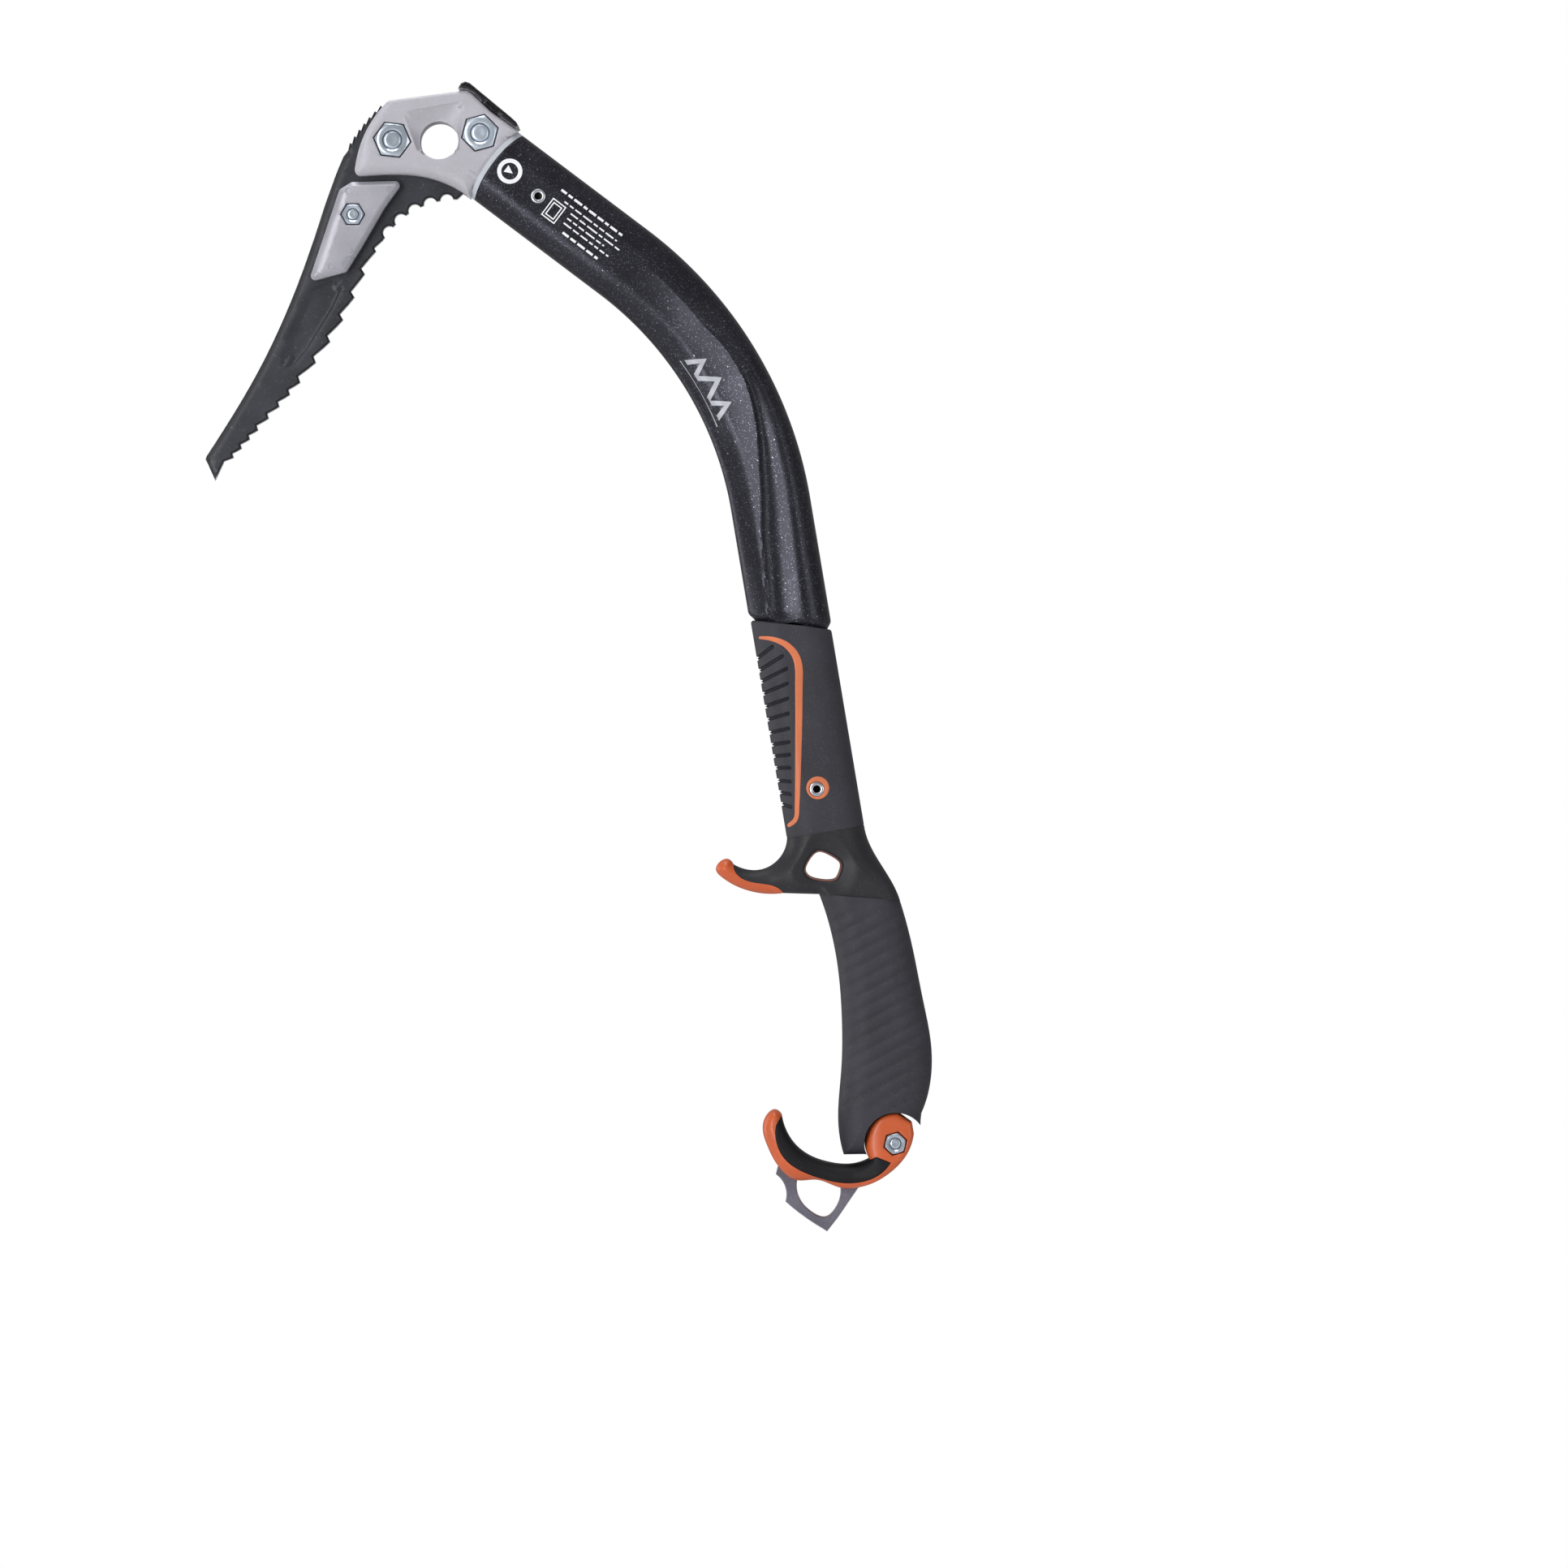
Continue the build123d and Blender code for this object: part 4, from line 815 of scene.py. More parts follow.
def section_at(places, size, inset=0.0):
    """Offsets across and sideways of a section, from its depth, width and corner radius."""
    depth, width, corner = size
    radius = max(corner - inset, 0.4)
    a = depth / 2 - inset - radius
    b = width / 2 - inset - radius
    return places[:, 0] * a + places[:, 2] * radius, places[:, 1] * b + places[:, 3] * radius


def side_height(u, size):
    """Half width of a section at a distance across it."""
    depth, width, corner = size
    past = np.clip(np.abs(u) - (depth / 2 - corner), 0, corner * 0.9999)
    return width / 2 - corner + np.sqrt(corner ** 2 - past ** 2)


def grip_top(u):
    """Distance along the shaft of the grip's slanted top edge."""
    normal = np.array([sin(GRIP_TOP_FALL), cos(GRIP_TOP_FALL)])
    gap = GRIP_TOP - BEND_END - LOW_SIDE * np.asarray(u, float)[..., None]
    return (gap @ normal) / (LOW_DIR @ normal) + LOW_START


def shaft_section(places, s, inset=0.0):
    """The tube's section, which rounds in to its neck just above the grip."""
    wide, thin = section_at(places, SHAFT, inset), section_at(places, NECK, inset)
    t = smooth(-NECK_REACH, 0.8, s - grip_top(wide[0]))
    return [a + (b - a) * t for a, b in zip(wide, thin)]


SIDE_FALL = 0.28                              # slope of the side in front of the crease
CREASE = [(108.3, -75.6), (116.8, -84.2), (124.6, -94.5), (129.7, -109.9), (132.3, -135.6),
          (133.1, -161.3), (135.7, -193.9), (138.0, -215.0)]
RIDGE = [(108.3, -74.4), (120.5, -82.0), (131.5, -96.0), (139.5, -113.0), (145.0, -135.0),
         (149.0, -160.0), (151.5, -194.0), (153.0, -215.0)]


def scoop(s, u, depth):
    """How far the sculpted side lies inside the plain section, at places on the shaft."""
    crease_s, crease_u = along_shaft(CREASE)
    ridge_s, ridge_u = along_shaft(RIDGE)
    left = np.interp(s, crease_s, crease_u)
    right = np.interp(s, ridge_s, ridge_u)
    t = np.clip((u - left) / np.maximum(right - left, 0.6), 0, 1)
    channel = smooth(crease_s[0] - 4, crease_s[0] + 55, s) * 6.75 * t * (1 - t) ** 2
    fall = smooth(TOP_LENGTH - 8, TOP_LENGTH + 45, s) * SIDE_FALL * 14 * np.tanh(
        np.maximum(left - u, 0) / 14)
    keep = smooth(0.0, -5.0, s - grip_top(u))
    return (depth * channel + fall) * keep


def loft(rows):
    """Stacks rows of (along, across, sideways) arrays into points in millimetres."""
    verts = []
    for s, u, y in rows:
        point, across = line_at(s)
        flat = point + across * np.asarray(u)[:, None]
        verts += [(p[0], side, p[1]) for p, side in zip(flat, y)]
    return verts


def catmull(points, steps=8):
    """A smooth open line through points that may carry more values than two."""
    p = np.asarray(points, float)
    padded = np.vstack([2 * p[0] - p[1], p, 2 * p[-1] - p[-2]])
    result = []
    for a, b, c, d in zip(padded, padded[1:], padded[2:], padded[3:]):
        for k in range(steps):
            t = k / steps
            result.append(0.5 * (2 * b + (c - a) * t + (2 * a - 5 * b + 4 * c - d) * t ** 2
                                 + (3 * b - a - 3 * c + d) * t ** 3))
    result.append(p[-1])
    return np.array(result)


def ribbon(points, steps=8, end_steps=7):
    """The outline of a line of (x, z, width), with round ends."""
    line = catmull(points, steps)
    run = np.gradient(line[:, :2], axis=0)
    run /= np.hypot(run[:, 0], run[:, 1])[:, None]
    side = np.stack([-run[:, 1], run[:, 0]], 1) * line[:, 2:3] / 2
    left, right = line[:, :2] + side, line[:, :2] - side
    turns = [pi * k / end_steps for k in range(1, end_steps)]
    reach = line[:, 2:3] / 2 * run
    loop = list(left)
    loop += [line[-1, :2] + side[-1] * cos(t) + reach[-1] * sin(t) for t in turns]
    loop += list(right[::-1])
    loop += [line[0, :2] - side[0] * cos(t) - reach[0] * sin(t) for t in turns]
    return np.array(loop)


def on_surface(loops, surface, lift, sink, step=1.0, rings=(), rounding=0.0):
    """Thin solids that lie on a side surface, mirrored onto both sides of the tool.

    surface gives the half width at points of the side plane.
    """
    solids = []
    for group in loops:
        def top(flat, gap):
            return np.full(len(flat), lift) - np.where(gap < rounding, rounding - gap, 0) * 0.7

        verts, faces, _ = plate_mesh(group, top, lambda flat, gap: np.full(len(flat), sink),
                                     step=step, along=step, rings=rings)
        verts = np.array(verts)
        height = surface(verts[:, [0, 2]])
        left = verts.copy()
        left[:, 1] = -height + verts[:, 1]
        solids.append((left.tolist(), faces))
    mirrored = []
    for verts, faces in solids:
        other = np.array(verts)
        other[:, 1] *= -1
        mirrored.append((other.tolist(), [face[::-1] for face in faces]))
    return solids, mirrored


# ---------------------------------------------------------------- settings
class IceAxeShaft(bpy.types.PropertyGroup):
    channel_depth: FloatProperty(name="Channel depth", description="Depth of the side channels",
                                 default=2.1 * MM, min=0, unit="LENGTH")
    edge_round: FloatProperty(name="End rounding", description="Rounding of the tube's head end",
                              default=0.5 * MM, min=0, unit="LENGTH")
    mark_height: FloatProperty(name="Mark height", description="Height of the printed marks",
                               default=0.05 * MM, min=0, unit="LENGTH")


class IceAxeHead(bpy.types.PropertyGroup):
    bevel_bottom: FloatProperty(name="Lower bevel", description="Width of the head's lower bevel",
                                default=5.4 * MM, min=0, unit="LENGTH")
    bevel_front: FloatProperty(name="Front bevel", description="Width of the head's front bevel",
                               default=2.9 * MM, min=0, unit="LENGTH")
    bevel_top: FloatProperty(name="Upper bevel", description="Width of the head's upper bevel",
                             default=1.9 * MM, min=0, unit="LENGTH")
    recess_depth: FloatProperty(name="Recess depth",
                                description="Depth of the dish round the carabiner hole",
                                default=3.0 * MM, min=0, unit="LENGTH")
    pocket_depth: FloatProperty(name="Nut pocket depth", description="Depth of the nut pockets",
                                default=4.3 * MM, min=0, unit="LENGTH")


class IceAxePick(bpy.types.PropertyGroup):
    spine_bevel: FloatProperty(name="Spine bevel", description="Width of the bevel on the spine",
                               default=2.1 * MM, min=0, unit="LENGTH")
    tooth_bevel: FloatProperty(name="Tooth bevel", description="Width of the bevel on the teeth",
                               default=0.8 * MM, min=0, unit="LENGTH")
    weight_bevel: FloatProperty(name="Weight bevel", description="Width of the weights' bevel",
                                default=2.0 * MM, min=0, unit="LENGTH")


class IceAxeHandle(bpy.types.PropertyGroup):
    rib_count: IntProperty(name="Ribs", description="Grooves across the front of the grip",
                           default=13, min=2)
    rib_depth: FloatProperty(name="Rib depth", description="Depth of the grooves",
                             default=0.95 * MM, min=0, unit="LENGTH")
    rib_width: FloatProperty(name="Rib width", description="Width of each groove",
                             default=1.5 * MM, min=0, unit="LENGTH")
    pad_round: FloatProperty(name="Griprest rounding", description="Rounding of its long edges",
                             default=5.5 * MM, min=0, unit="LENGTH")


class IceAxeStudio(bpy.types.PropertyGroup):
    floor_drop: FloatProperty(name="Floor", description="Height of the studio floor",
                              default=-0.62, unit="LENGTH")
    floor_size: FloatProperty(name="Floor size", description="Half the width of the floor",
                              default=1.5, unit="LENGTH")
    camera_distance: FloatProperty(name="Camera distance", description="From the tool's middle",
                                   default=3.0, unit="LENGTH")
    floor_color: FloatVectorProperty(name="Floor colour", description="Colour of the floor",
                                     subtype="COLOR", default=(0.86, 0.86, 0.86), min=0, max=1)
    room_light: FloatProperty(name="Room light", description="Strength of the even light",
                              default=0.3, min=0)


SETTINGS = {"ice_axe_shaft": IceAxeShaft, "ice_axe_head": IceAxeHead, "ice_axe_pick": IceAxePick,
            "ice_axe_handle": IceAxeHandle, "ice_axe_studio": IceAxeStudio}


def setting(part, name):
    """A length from the settings, in millimetres."""
    return getattr(getattr(bpy.context.scene, "ice_axe_" + part), name) / MM


# ---------------------------------------------------------------- studio
class ICEAXE_OT_studio(bpy.types.Operator):
    """Adds the floor, the soft lights and the camera"""
    bl_idname = "iceaxe.studio"
    bl_label = "Studio"

    def execute(self, context):
        studio = context.scene.ice_axe_studio
        low, high = (Vector(corner) for corner in cad_box)
        center = (low + high) / 2
        self.add_floor(studio, center)
        self.add_camera(studio)
        self.add_lights(center)
        self.add_room(context.scene, studio.room_light)
        return {"FINISHED"}

    def add_floor(self, studio, center):
        size = studio.floor_size
        bm = bmesh.new()
        bmesh.ops.create_grid(bm, x_segments=12, y_segments=12, size=size)
        mesh = bpy.data.meshes.new("floor")
        bm.to_mesh(mesh)
        bm.free()
        floor = bpy.data.objects.new("floor", mesh)
        floor.location = (center.x, 0.25 - size, studio.floor_drop)
        bpy.context.scene.collection.objects.link(floor)
        paint = bpy.data.materials.new("floor_paint")
        paint.use_nodes = True
        tree = paint.node_tree
        shader = tree.nodes["Principled BSDF"]
        place = wire(tree, "ShaderNodeTexCoord").outputs["Object"]
        noise = wire(tree, "ShaderNodeTexNoise", None, {"Vector": place, "Scale": 3.0})
        pale = tuple(studio.floor_color)
        tree.links.new(mixed(tree, noise.outputs["Fac"], [c * 0.98 for c in pale], pale),
                       shader.inputs["Base Color"])
        shader.inputs["Roughness"].default_value = 0.8
        mesh.materials.append(paint)

    def add_camera(self, studio):
        camera = bpy.data.cameras.new("camera")
        camera.sensor_width = 36.0
        view_width = 0.6492                   # of the frame, at the tool's middle plane
        camera.lens = camera.sensor_width * studio.camera_distance / view_width
        eye = bpy.data.objects.new("camera", camera)
        eye.location = (0.1425, -studio.camera_distance, -0.2658)
        eye.rotation_euler = (pi / 2, 0, 0)
        bpy.context.scene.collection.objects.link(eye)
        bpy.context.scene.camera = eye

    def add_lights(self, center):
        lamps = [  # name, offset from the middle, width, height, watts
            ("key", (-1.1, -1.7, 0.5), 0.8, 1.4, 14.0),
            ("low_left", (-1.05, -1.9, -0.52), 0.5, 0.7, 28.0),
            ("fill", (1.3, -1.3, 0.1), 0.6, 1.0, 4.0),
            ("above", (-0.2, -0.2, 1.5), 1.2, 0.9, 13.0),
            ("edge", (-1.4, 0.5, 0.0), 0.5, 1.4, 6.0),
        ]
        for name, offset, width, height, watts in lamps:
            light = bpy.data.lights.new(name, "AREA")
            light.shape = "RECTANGLE"
            light.size, light.size_y = width, height
            light.energy = watts
            lamp = bpy.data.objects.new(name, light)
            lamp.location = center + Vector(offset)
            lamp.rotation_euler = (-Vector(offset)).to_track_quat("-Z", "Y").to_euler()
            bpy.context.scene.collection.objects.link(lamp)

    def add_room(self, scene, strength):
        world = bpy.data.worlds.new("room")
        world.use_nodes = True
        tree = world.node_tree
        seen = wire(tree, "ShaderNodeLightPath").outputs["Is Camera Ray"]
        light = wire(tree, "ShaderNodeMapRange", None,
                     {"Value": seen, "To Min": strength, "To Max": 1.0}).outputs["Result"]
        background = tree.nodes["Background"]
        background.inputs["Color"].default_value = (1, 1, 1, 1)
        tree.links.new(light, background.inputs["Strength"])
        scene.world = world
        scene.view_settings.view_transform = "Standard"


# ---------------------------------------------------------------- shaft
class ICEAXE_OT_shaft(bpy.types.Operator):
    """Builds the bent tube with its side channels"""
    bl_idname = "iceaxe.shaft"
    bl_label = "Shaft"

    def execute(self, context):
        depth = setting("shaft", "channel_depth")
        lip = setting("shaft", "edge_round")
        places = section_samples(16, 46, 16)
        straighten = 14.0                     # the rounded end's rows become square by here
        rows = []
        starts = [lip * (1 - cos(radians(angle))) for angle in (0, 22, 45, 68, 90)]
        insets = [lip * (1 - sin(radians(angle))) for angle in (0, 22, 45, 68, 90)]
        starts += list(np.linspace(1.2, straighten, 14))
        insets += [0.0] * 14
        for start, inset in zip(starts, insets):
            u, y = section_at(places, SHAFT, inset)
            bulge = BULGE_CENTER - np.sqrt(BULGE_R ** 2 - u ** 2)
            rows.append((bulge * (1 - start / straighten) + start, u, y))

        def scooped_row(s, *inset):
            """A row of the tube with its side channels, at s along the shaft."""
            u, y = shaft_section(places, s, *inset)
            along = np.full(len(u), s)
            cut = scoop(along, u, depth) * smooth(0.0, 1.0, np.abs(places[:, 3]))
            return along, u - places[:, 2] * cut, y - places[:, 3] * cut

        rows += [scooped_row(s) for s in np.arange(straighten + 1.0, SHAFT_END, 1.0)]
        wall = 1.8
        rows += [scooped_row(s, wall) for s in np.linspace(SHAFT_END - 0.5, straighten, 40)]
        u, y = section_at(places, SHAFT, wall)
        rows.append((BULGE_CENTER - np.sqrt(BULGE_R ** 2 - u ** 2) + 0.2, u, y))
        verts = loft(rows)
        faces = ring_faces(len(rows), len(places), closed=True)
        tube = new_piece("shaft_body", verts, faces, finish("shaft_paint"))
        across = middle("head_rivets")
        grip_rivet = middle("handle_rivets")
        rivet_hole_r = 2.15
        carve(tube, *(prism(circle(at, rivet_hole_r, 40), 20) for at in (across, grip_rivet)))
        settle(tube, AXE, "shaft_paint", "shaft_tube")
        return {"FINISHED"}


class ICEAXE_OT_shaft_marks(bpy.types.Operator):
    """Prints plain marks on the shaft: a ring, rows of bars and three peaks"""
    bl_idname = "iceaxe.shaft_marks"
    bl_label = "Shaft marks"

    def execute(self, context):
        lift = setting("shaft", "mark_height")
        depth = setting("shaft", "channel_depth")

        def surface(flat):
            s, u = along_shaft(flat)
            return side_height(u, SHAFT) - scoop(s, u, depth)

        def placed(loop):
            """From distances along and across the shaft to the side plane."""
            loop = np.asarray(loop, float)
            point, across = line_at(loop[:, 0])
            return point + across * loop[:, 1:2]

        draw = random.Random(7)
        center = along_shaft(np.array([29.4, -13.1]))
        ring = circle(center, 5.2, 60)
        peak = [(center[0] + a, center[1] + b) for a, b in ((-1.9, -1.7), (-1.9, 1.7), (1.6, 0))]
        groups = [[placed(ring), placed(circle(center, 3.5, 48))],
                  [placed(spaced(np.array(peak), 1.0))]]
        for across, start, end, height in ((7.4, 27, 60, 1.0), (4.4, 31, 58, 0.65),
                                           (2.0, 36, 61, 0.65), (-0.4, 36, 55, 0.65),
                                           (-2.8, 36, 59, 0.65), (-6.4, 38, 56, 1.0)):
            s = start
            while s < end:
                length = min(draw.uniform(1.6, 5.2), end - s)
                if length > 0.8:
                    bar = [(s, across), (s + length, across), (s + length, across + height),
                           (s, across + height)]
                    groups.append([placed(spaced(np.array(bar, float), 1.0))])
                s += length + 0.9
        for inner, outer in ((0.0, 0.5), (1.2, 1.7)):
            page = [(28.0 - outer, -3.6 - outer), (31.4 + outer, -3.6 - outer),
                    (31.4 + outer, 1.6 + outer), (28.0 - outer, 1.6 + outer)]
            hole = [(28.0 - inner, -3.6 - inner), (31.4 + inner, -3.6 - inner),
                    (31.4 + inner, 1.6 + inner), (28.0 - inner, 1.6 + inner)]
            groups.append([placed(spaced(np.array(page), 1.0)),
                           placed(spaced(np.array(hole), 1.0))])
        self.print_marks("shaft_text_marks", groups, surface, lift, "mark_white")

        s, u = along_shaft(np.array([113.0, -101.3]))
        groups = []
        for shift, size in ((-11.0, 5.0), (-1.0, 6.6), (10.0, 5.0)):
            outer = [(s + shift - size, u - 4.2), (s + shift, u + size * 0.75),
                     (s + shift + size, u - 4.2), (s + shift + size - 2.6, u - 4.2),
                     (s + shift, u + size * 0.75 - 3.4), (s + shift - size + 2.6, u - 4.2)]
            groups.append([placed(spaced(np.array(outer), 1.0))])
        bar = [(s - 17, u - 6.6), (s + 17, u - 6.6), (s + 17, u - 5.6), (s - 17, u - 5.6)]
        groups.append([placed(spaced(np.array(bar, float), 1.0))])
        self.print_marks("shaft_peak_marks", groups, surface, lift, "mark_grey")
        return {"FINISHED"}

    def print_marks(self, name, groups, surface, lift, material):
        left, right = on_surface(groups, surface, lift, -0.02)
        verts, faces = joined(*left, *right)
        settle(new_piece(name, verts, faces, finish(material)), AXE, "collar_plastic")


# ---------------------------------------------------------------- head
class ICEAXE_OT_head(bpy.types.Operator):
    """Builds the head with its soft bevels, dished hole and nut pockets"""
    bl_idname = "iceaxe.head"
    bl_label = "Head"

    def execute(self, context):
        cheek = sized("head", 1) / 2
        pocket = setting("head", "pocket_depth")
        bevels = [setting("head", name) for name in ("bevel_top", "bevel_front", "bevel_bottom")]
        recess = setting("head", "recess_depth")
        loops = section_loops("head", -(cheek - pocket - 0.15))
        outline = turned_to(loops[0], 1)
        bulge = START + TOP_DIR * BULGE_CENTER
        collar_r = BULGE_R + COLLAR
        reach = np.linspace(radians(-30), radians(30), 41)
        back = atan2(-TOP_DIR[1], -TOP_DIR[0])
        arc = np.stack([bulge[0] + collar_r * np.cos(reach + back),
                        bulge[1] - collar_r * np.sin(reach + back)], 1)
        tenon_zone = np.vstack([arc, [bulge - TOP_DIR * 5 - TOP_SIDE * 40],
                                [bulge - TOP_DIR * 5 + TOP_SIDE * 40]])
        dish = spaced(np.array([(-14.9, 11.8), (10.9, 16.5), (8.5, -6.0), (-8.5, -6.4)]), 1.0)
        dish = moved_in(moved_in(turned_to(dish, 1), 1.4), -1.2)
        bore_r = 8.0
        bore = circle((0.0, 0.0), bore_r, 90)
        nuts = {"front_pick_nut": -6.5, "rear_pick_nut": 15.0}
        hexes = [hexagon(middle(node), 14.0, turn) for node, turn in nuts.items()]
        body_sides = sides_of(turned_to(spaced(outline, 1.0), 1))
        body_sides = body_sides[np.hypot(*(body_sides.mean(axis=1) - bulge).T) > collar_r - 0.3]

        def tenon(flat):
            u = along_shaft(flat)[1]
            return side_height(np.clip(u, -13.6, 13.6), (29.4, 20.2, 8.6))

        def height(flat, gap):
            x, z = flat.T
            edge = edge_distance(flat, body_sides)
            low = smooth(3.0, -9.0, z)
            front = smooth(-16, -26, x) * (1 - low)
            width = bevels[0] + (bevels[1] - bevels[0]) * front + (bevels[2] - bevels[0]) * low
            drop = 1.25 + 0.7 * front + 1.9 * low
            t = np.clip(1 - edge / width, 0, 1)
            level = cheek - drop * (1 - np.sqrt(np.clip(1 - t ** 2.2, 0, 1)))
            dished = -signed_distance(flat, dish)
            to_bore = np.maximum(np.hypot(x, z) - bore_r, 0.0)
            share = np.clip(dished / np.maximum(dished + to_bore, 0.05), 0, 1)
            floor = cheek - recess * np.where(dished > 0, share ** 0.8, 0)
            level = np.minimum(level, floor)
            for loop in hexes:
                deep = signed_distance(flat, loop)
                lip = np.clip(1 - deep / 0.5, 0, 1)
                level = np.where(deep < 0, cheek - pocket, level - 0.3 * lip ** 2)
            in_tenon = np.hypot(*(flat - bulge).T) < collar_r
            return np.where(in_tenon, np.minimum(tenon(flat), cheek - 0.3), level)

        features = [(dish, (0.0, 0.35, 0.9, 1.7, -0.3)), (tenon_zone, (0.03, -0.03))]
        features += [(loop, (0.03, -0.03, -0.25, -0.5)) for loop in hexes]
        rings = (0.12, 0.35, 0.7, 1.15, 1.9, 2.8, 3.8, 5.2)
        holes = [loop for loop in loops[1:] if abs(area(loop)) < 150] + [bore]
        verts, faces, rim = plate_mesh([outline] + holes, height, height, step=1.3, along=0.9,
                                       rings=rings, features=features)
        body = new_piece("head_body", verts, faces, finish("head_alloy"), sharp=34, rim=rim)
        slot = [(-60, -40), (21, -40), (25.4, -9), (25.4, 5), (20, 12.6), (-24, 15.6), (-60, 30)]
        ears = [(11.5, 23.0), (29.0, 8.8), (24.3, 1.8), (9.7, 1.8)]
        carve(body, prism(slot, 2.15), prism(ears, 4.15),
              prism(circle(middle("rear_pick_nut"), 7.4, 48), 4.15), sharp=34)
        settle(body, AXE, "head_alloy", "head")
        return {"FINISHED"}


class ICEAXE_OT_hammer(bpy.types.Operator):
    """Builds the hammer plate and its two ears"""
    bl_idname = "iceaxe.hammer"
    bl_label = "Hammer"

    def execute(self, context):
        half = sized("hammer", 1) / 2
        bar = turned_to(section_loops("hammer", -8.0)[0], 1)
        loops = section_loops("hammer", -3.0)
        bar_sides = sides_of(spaced(bar, 0.8))

        def height(flat, gap):
            edge = edge_distance(flat, bar_sides)
            within = inside(flat, moved_in(bar, -0.01)) | (gap < 1e-3) & (edge < 0.02)
            dip = 0.45 * smooth(1.0, 1.5, edge)
            return np.where(within, rounded_height(edge, half, 0.9) - dip, 4.0)

        verts, faces, rim = plate_mesh(loops, height, height, step=1.0, along=0.7,
                                       rings=(0.1, 0.35, 0.65, 0.95, 1.5),
                                       features=[(bar, (0.03, -0.03))])
        plate = new_piece("hammer_plate", verts, faces, finish("hammer_steel"), rim=rim)
        x, z = middle("rear_pick_nut")
        gap = [(x - 9, z - 9), (x + 9, z - 9), (x + 12, z + 6.2), (x + 2, z + 12.0),
               (x - 5, z + 12.6), (x - 9, z + 10)]
        carve(plate, prism(gap, 2.1))
        settle(plate, AXE, "hammer_steel", "hammer")
        return {"FINISHED"}


def nut_rows(height, flats, bore):
    """A nut from its seat outwards: chamfered corners, a turned top and a threaded bore."""
    top_r = flats * 0.485
    rows = [(0.1, bore + 0.5, False), (0.0, flats * 0.47, False), (0.35, flats * 0.58, True)]
    for k in range(7):
        t = k / 6
        rows.append((height - 0.62 * (1 - t) - 0.12,
                     flats * 0.58 + (top_r - flats * 0.58) * t, True))
    rows += [(height, top_r - 0.25, False), (height - 0.02, bore + 0.75, False),
             (height - 0.55, bore + 0.02, False), (height * 0.5, bore, False)]
    return rows


def bolt_end_rows(start, end, radius, pitch):
    """The threaded end of a bolt, from inside the tool outwards, with a domed tip."""
    rows = [(start, radius - 0.1, False)]
    at = start
    while at < end - 1.0 - pitch:
        rows += [(at, radius - 0.04, False), (at + pitch * 0.4, radius - 0.3, False),
                 (at + pitch * 0.6, radius - 0.3, False)]
        at += pitch
    for t in (0.0, 0.3, 0.55, 0.78, 0.93):
        rows.append((end - 0.9 * (1 - t) ** 1.5, radius * (0.96 - 0.28 * t ** 1.5), False))
    rows += [(end, radius * 0.45, False), (end - 0.06, radius * 0.3, False)]
    return rows


def bolt_head_rows(seat, height, flats):
    """A bolt's head from its seat outwards, with a shallow dished top."""
    wide, top_r = flats * 0.58, flats * 0.485
    rows = [(seat, flats * 0.46, False), (seat + 0.3, wide, True)]
    for k in range(7):
        t = k / 6
        rows.append((seat + height - 0.62 * (1 - t) - 0.12, wide + (top_r - wide) * t, True))
    rows += [(seat + height, top_r - 0.3, False), (seat + height, flats * 0.34, False),
             (seat + height - 0.3, flats * 0.3, False), (seat + height - 0.32, 0.4, False)]
    return rows


class ICEAXE_OT_fasteners(bpy.types.Operator):
    """Builds the nuts and bolts of the pick, the weights and the griprest"""
    bl_idname = "iceaxe.fasteners"
    bl_label = "Nuts and bolts"

    def execute(self, context):
        sets = [  # name, nut node, bolt node, flats, turn, body, thread pitch
            ("front_pick", "front_pick_nut", "front_pick_bolt", 13.0, -6.5, AXE, 1.25),
            ("rear_pick", "rear_pick_nut", "rear_pick_bolt", 13.0, 15.0, AXE, 1.25),
            ("weight", "weight_nut", "weight_screw", 8.0, 0.0, AXE, 0.8),
            ("griprest", "griprest_nut", "griprest_bolt", 8.0, 17.0, GRIPREST, 0.8),
        ]
        for name, nut, bolt, flats, turn, body, pitch in sets:
            center = middle(nut)
            low, high = (corner.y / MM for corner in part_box(nut))
            radius = 4.0 if flats > 10 else 2.5
            rows = [(-high + h, r, hexed) for h, r, hexed in nut_rows(high - low, flats, radius)]
            verts, faces = lathe(center, -1, rows, flats, turn, 144, closed=True)
            piece = new_piece(name + "_hex_nut", verts, faces, finish("zinc_steel"), sharp=28)
            settle(piece, body, "zinc_steel", nut)
            tip, back = (corner.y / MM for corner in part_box(bolt))
            head_height = 4.8 if flats > 10 else (3.6 if body == AXE else 4.0)
            seat = back - head_height
            head = lathe(center, 1, bolt_head_rows(seat, head_height, flats), flats, turn, 144)
            shank = lathe(center, -1, bolt_end_rows(-seat - 0.2, -tip, radius, pitch), count=64)
            verts, faces = joined(head, shank)
            piece = new_piece(name + "_hex_bolt", verts, faces, finish("zinc_steel"), sharp=28)
            settle(piece, body, "zinc_steel", bolt)
        return {"FINISHED"}


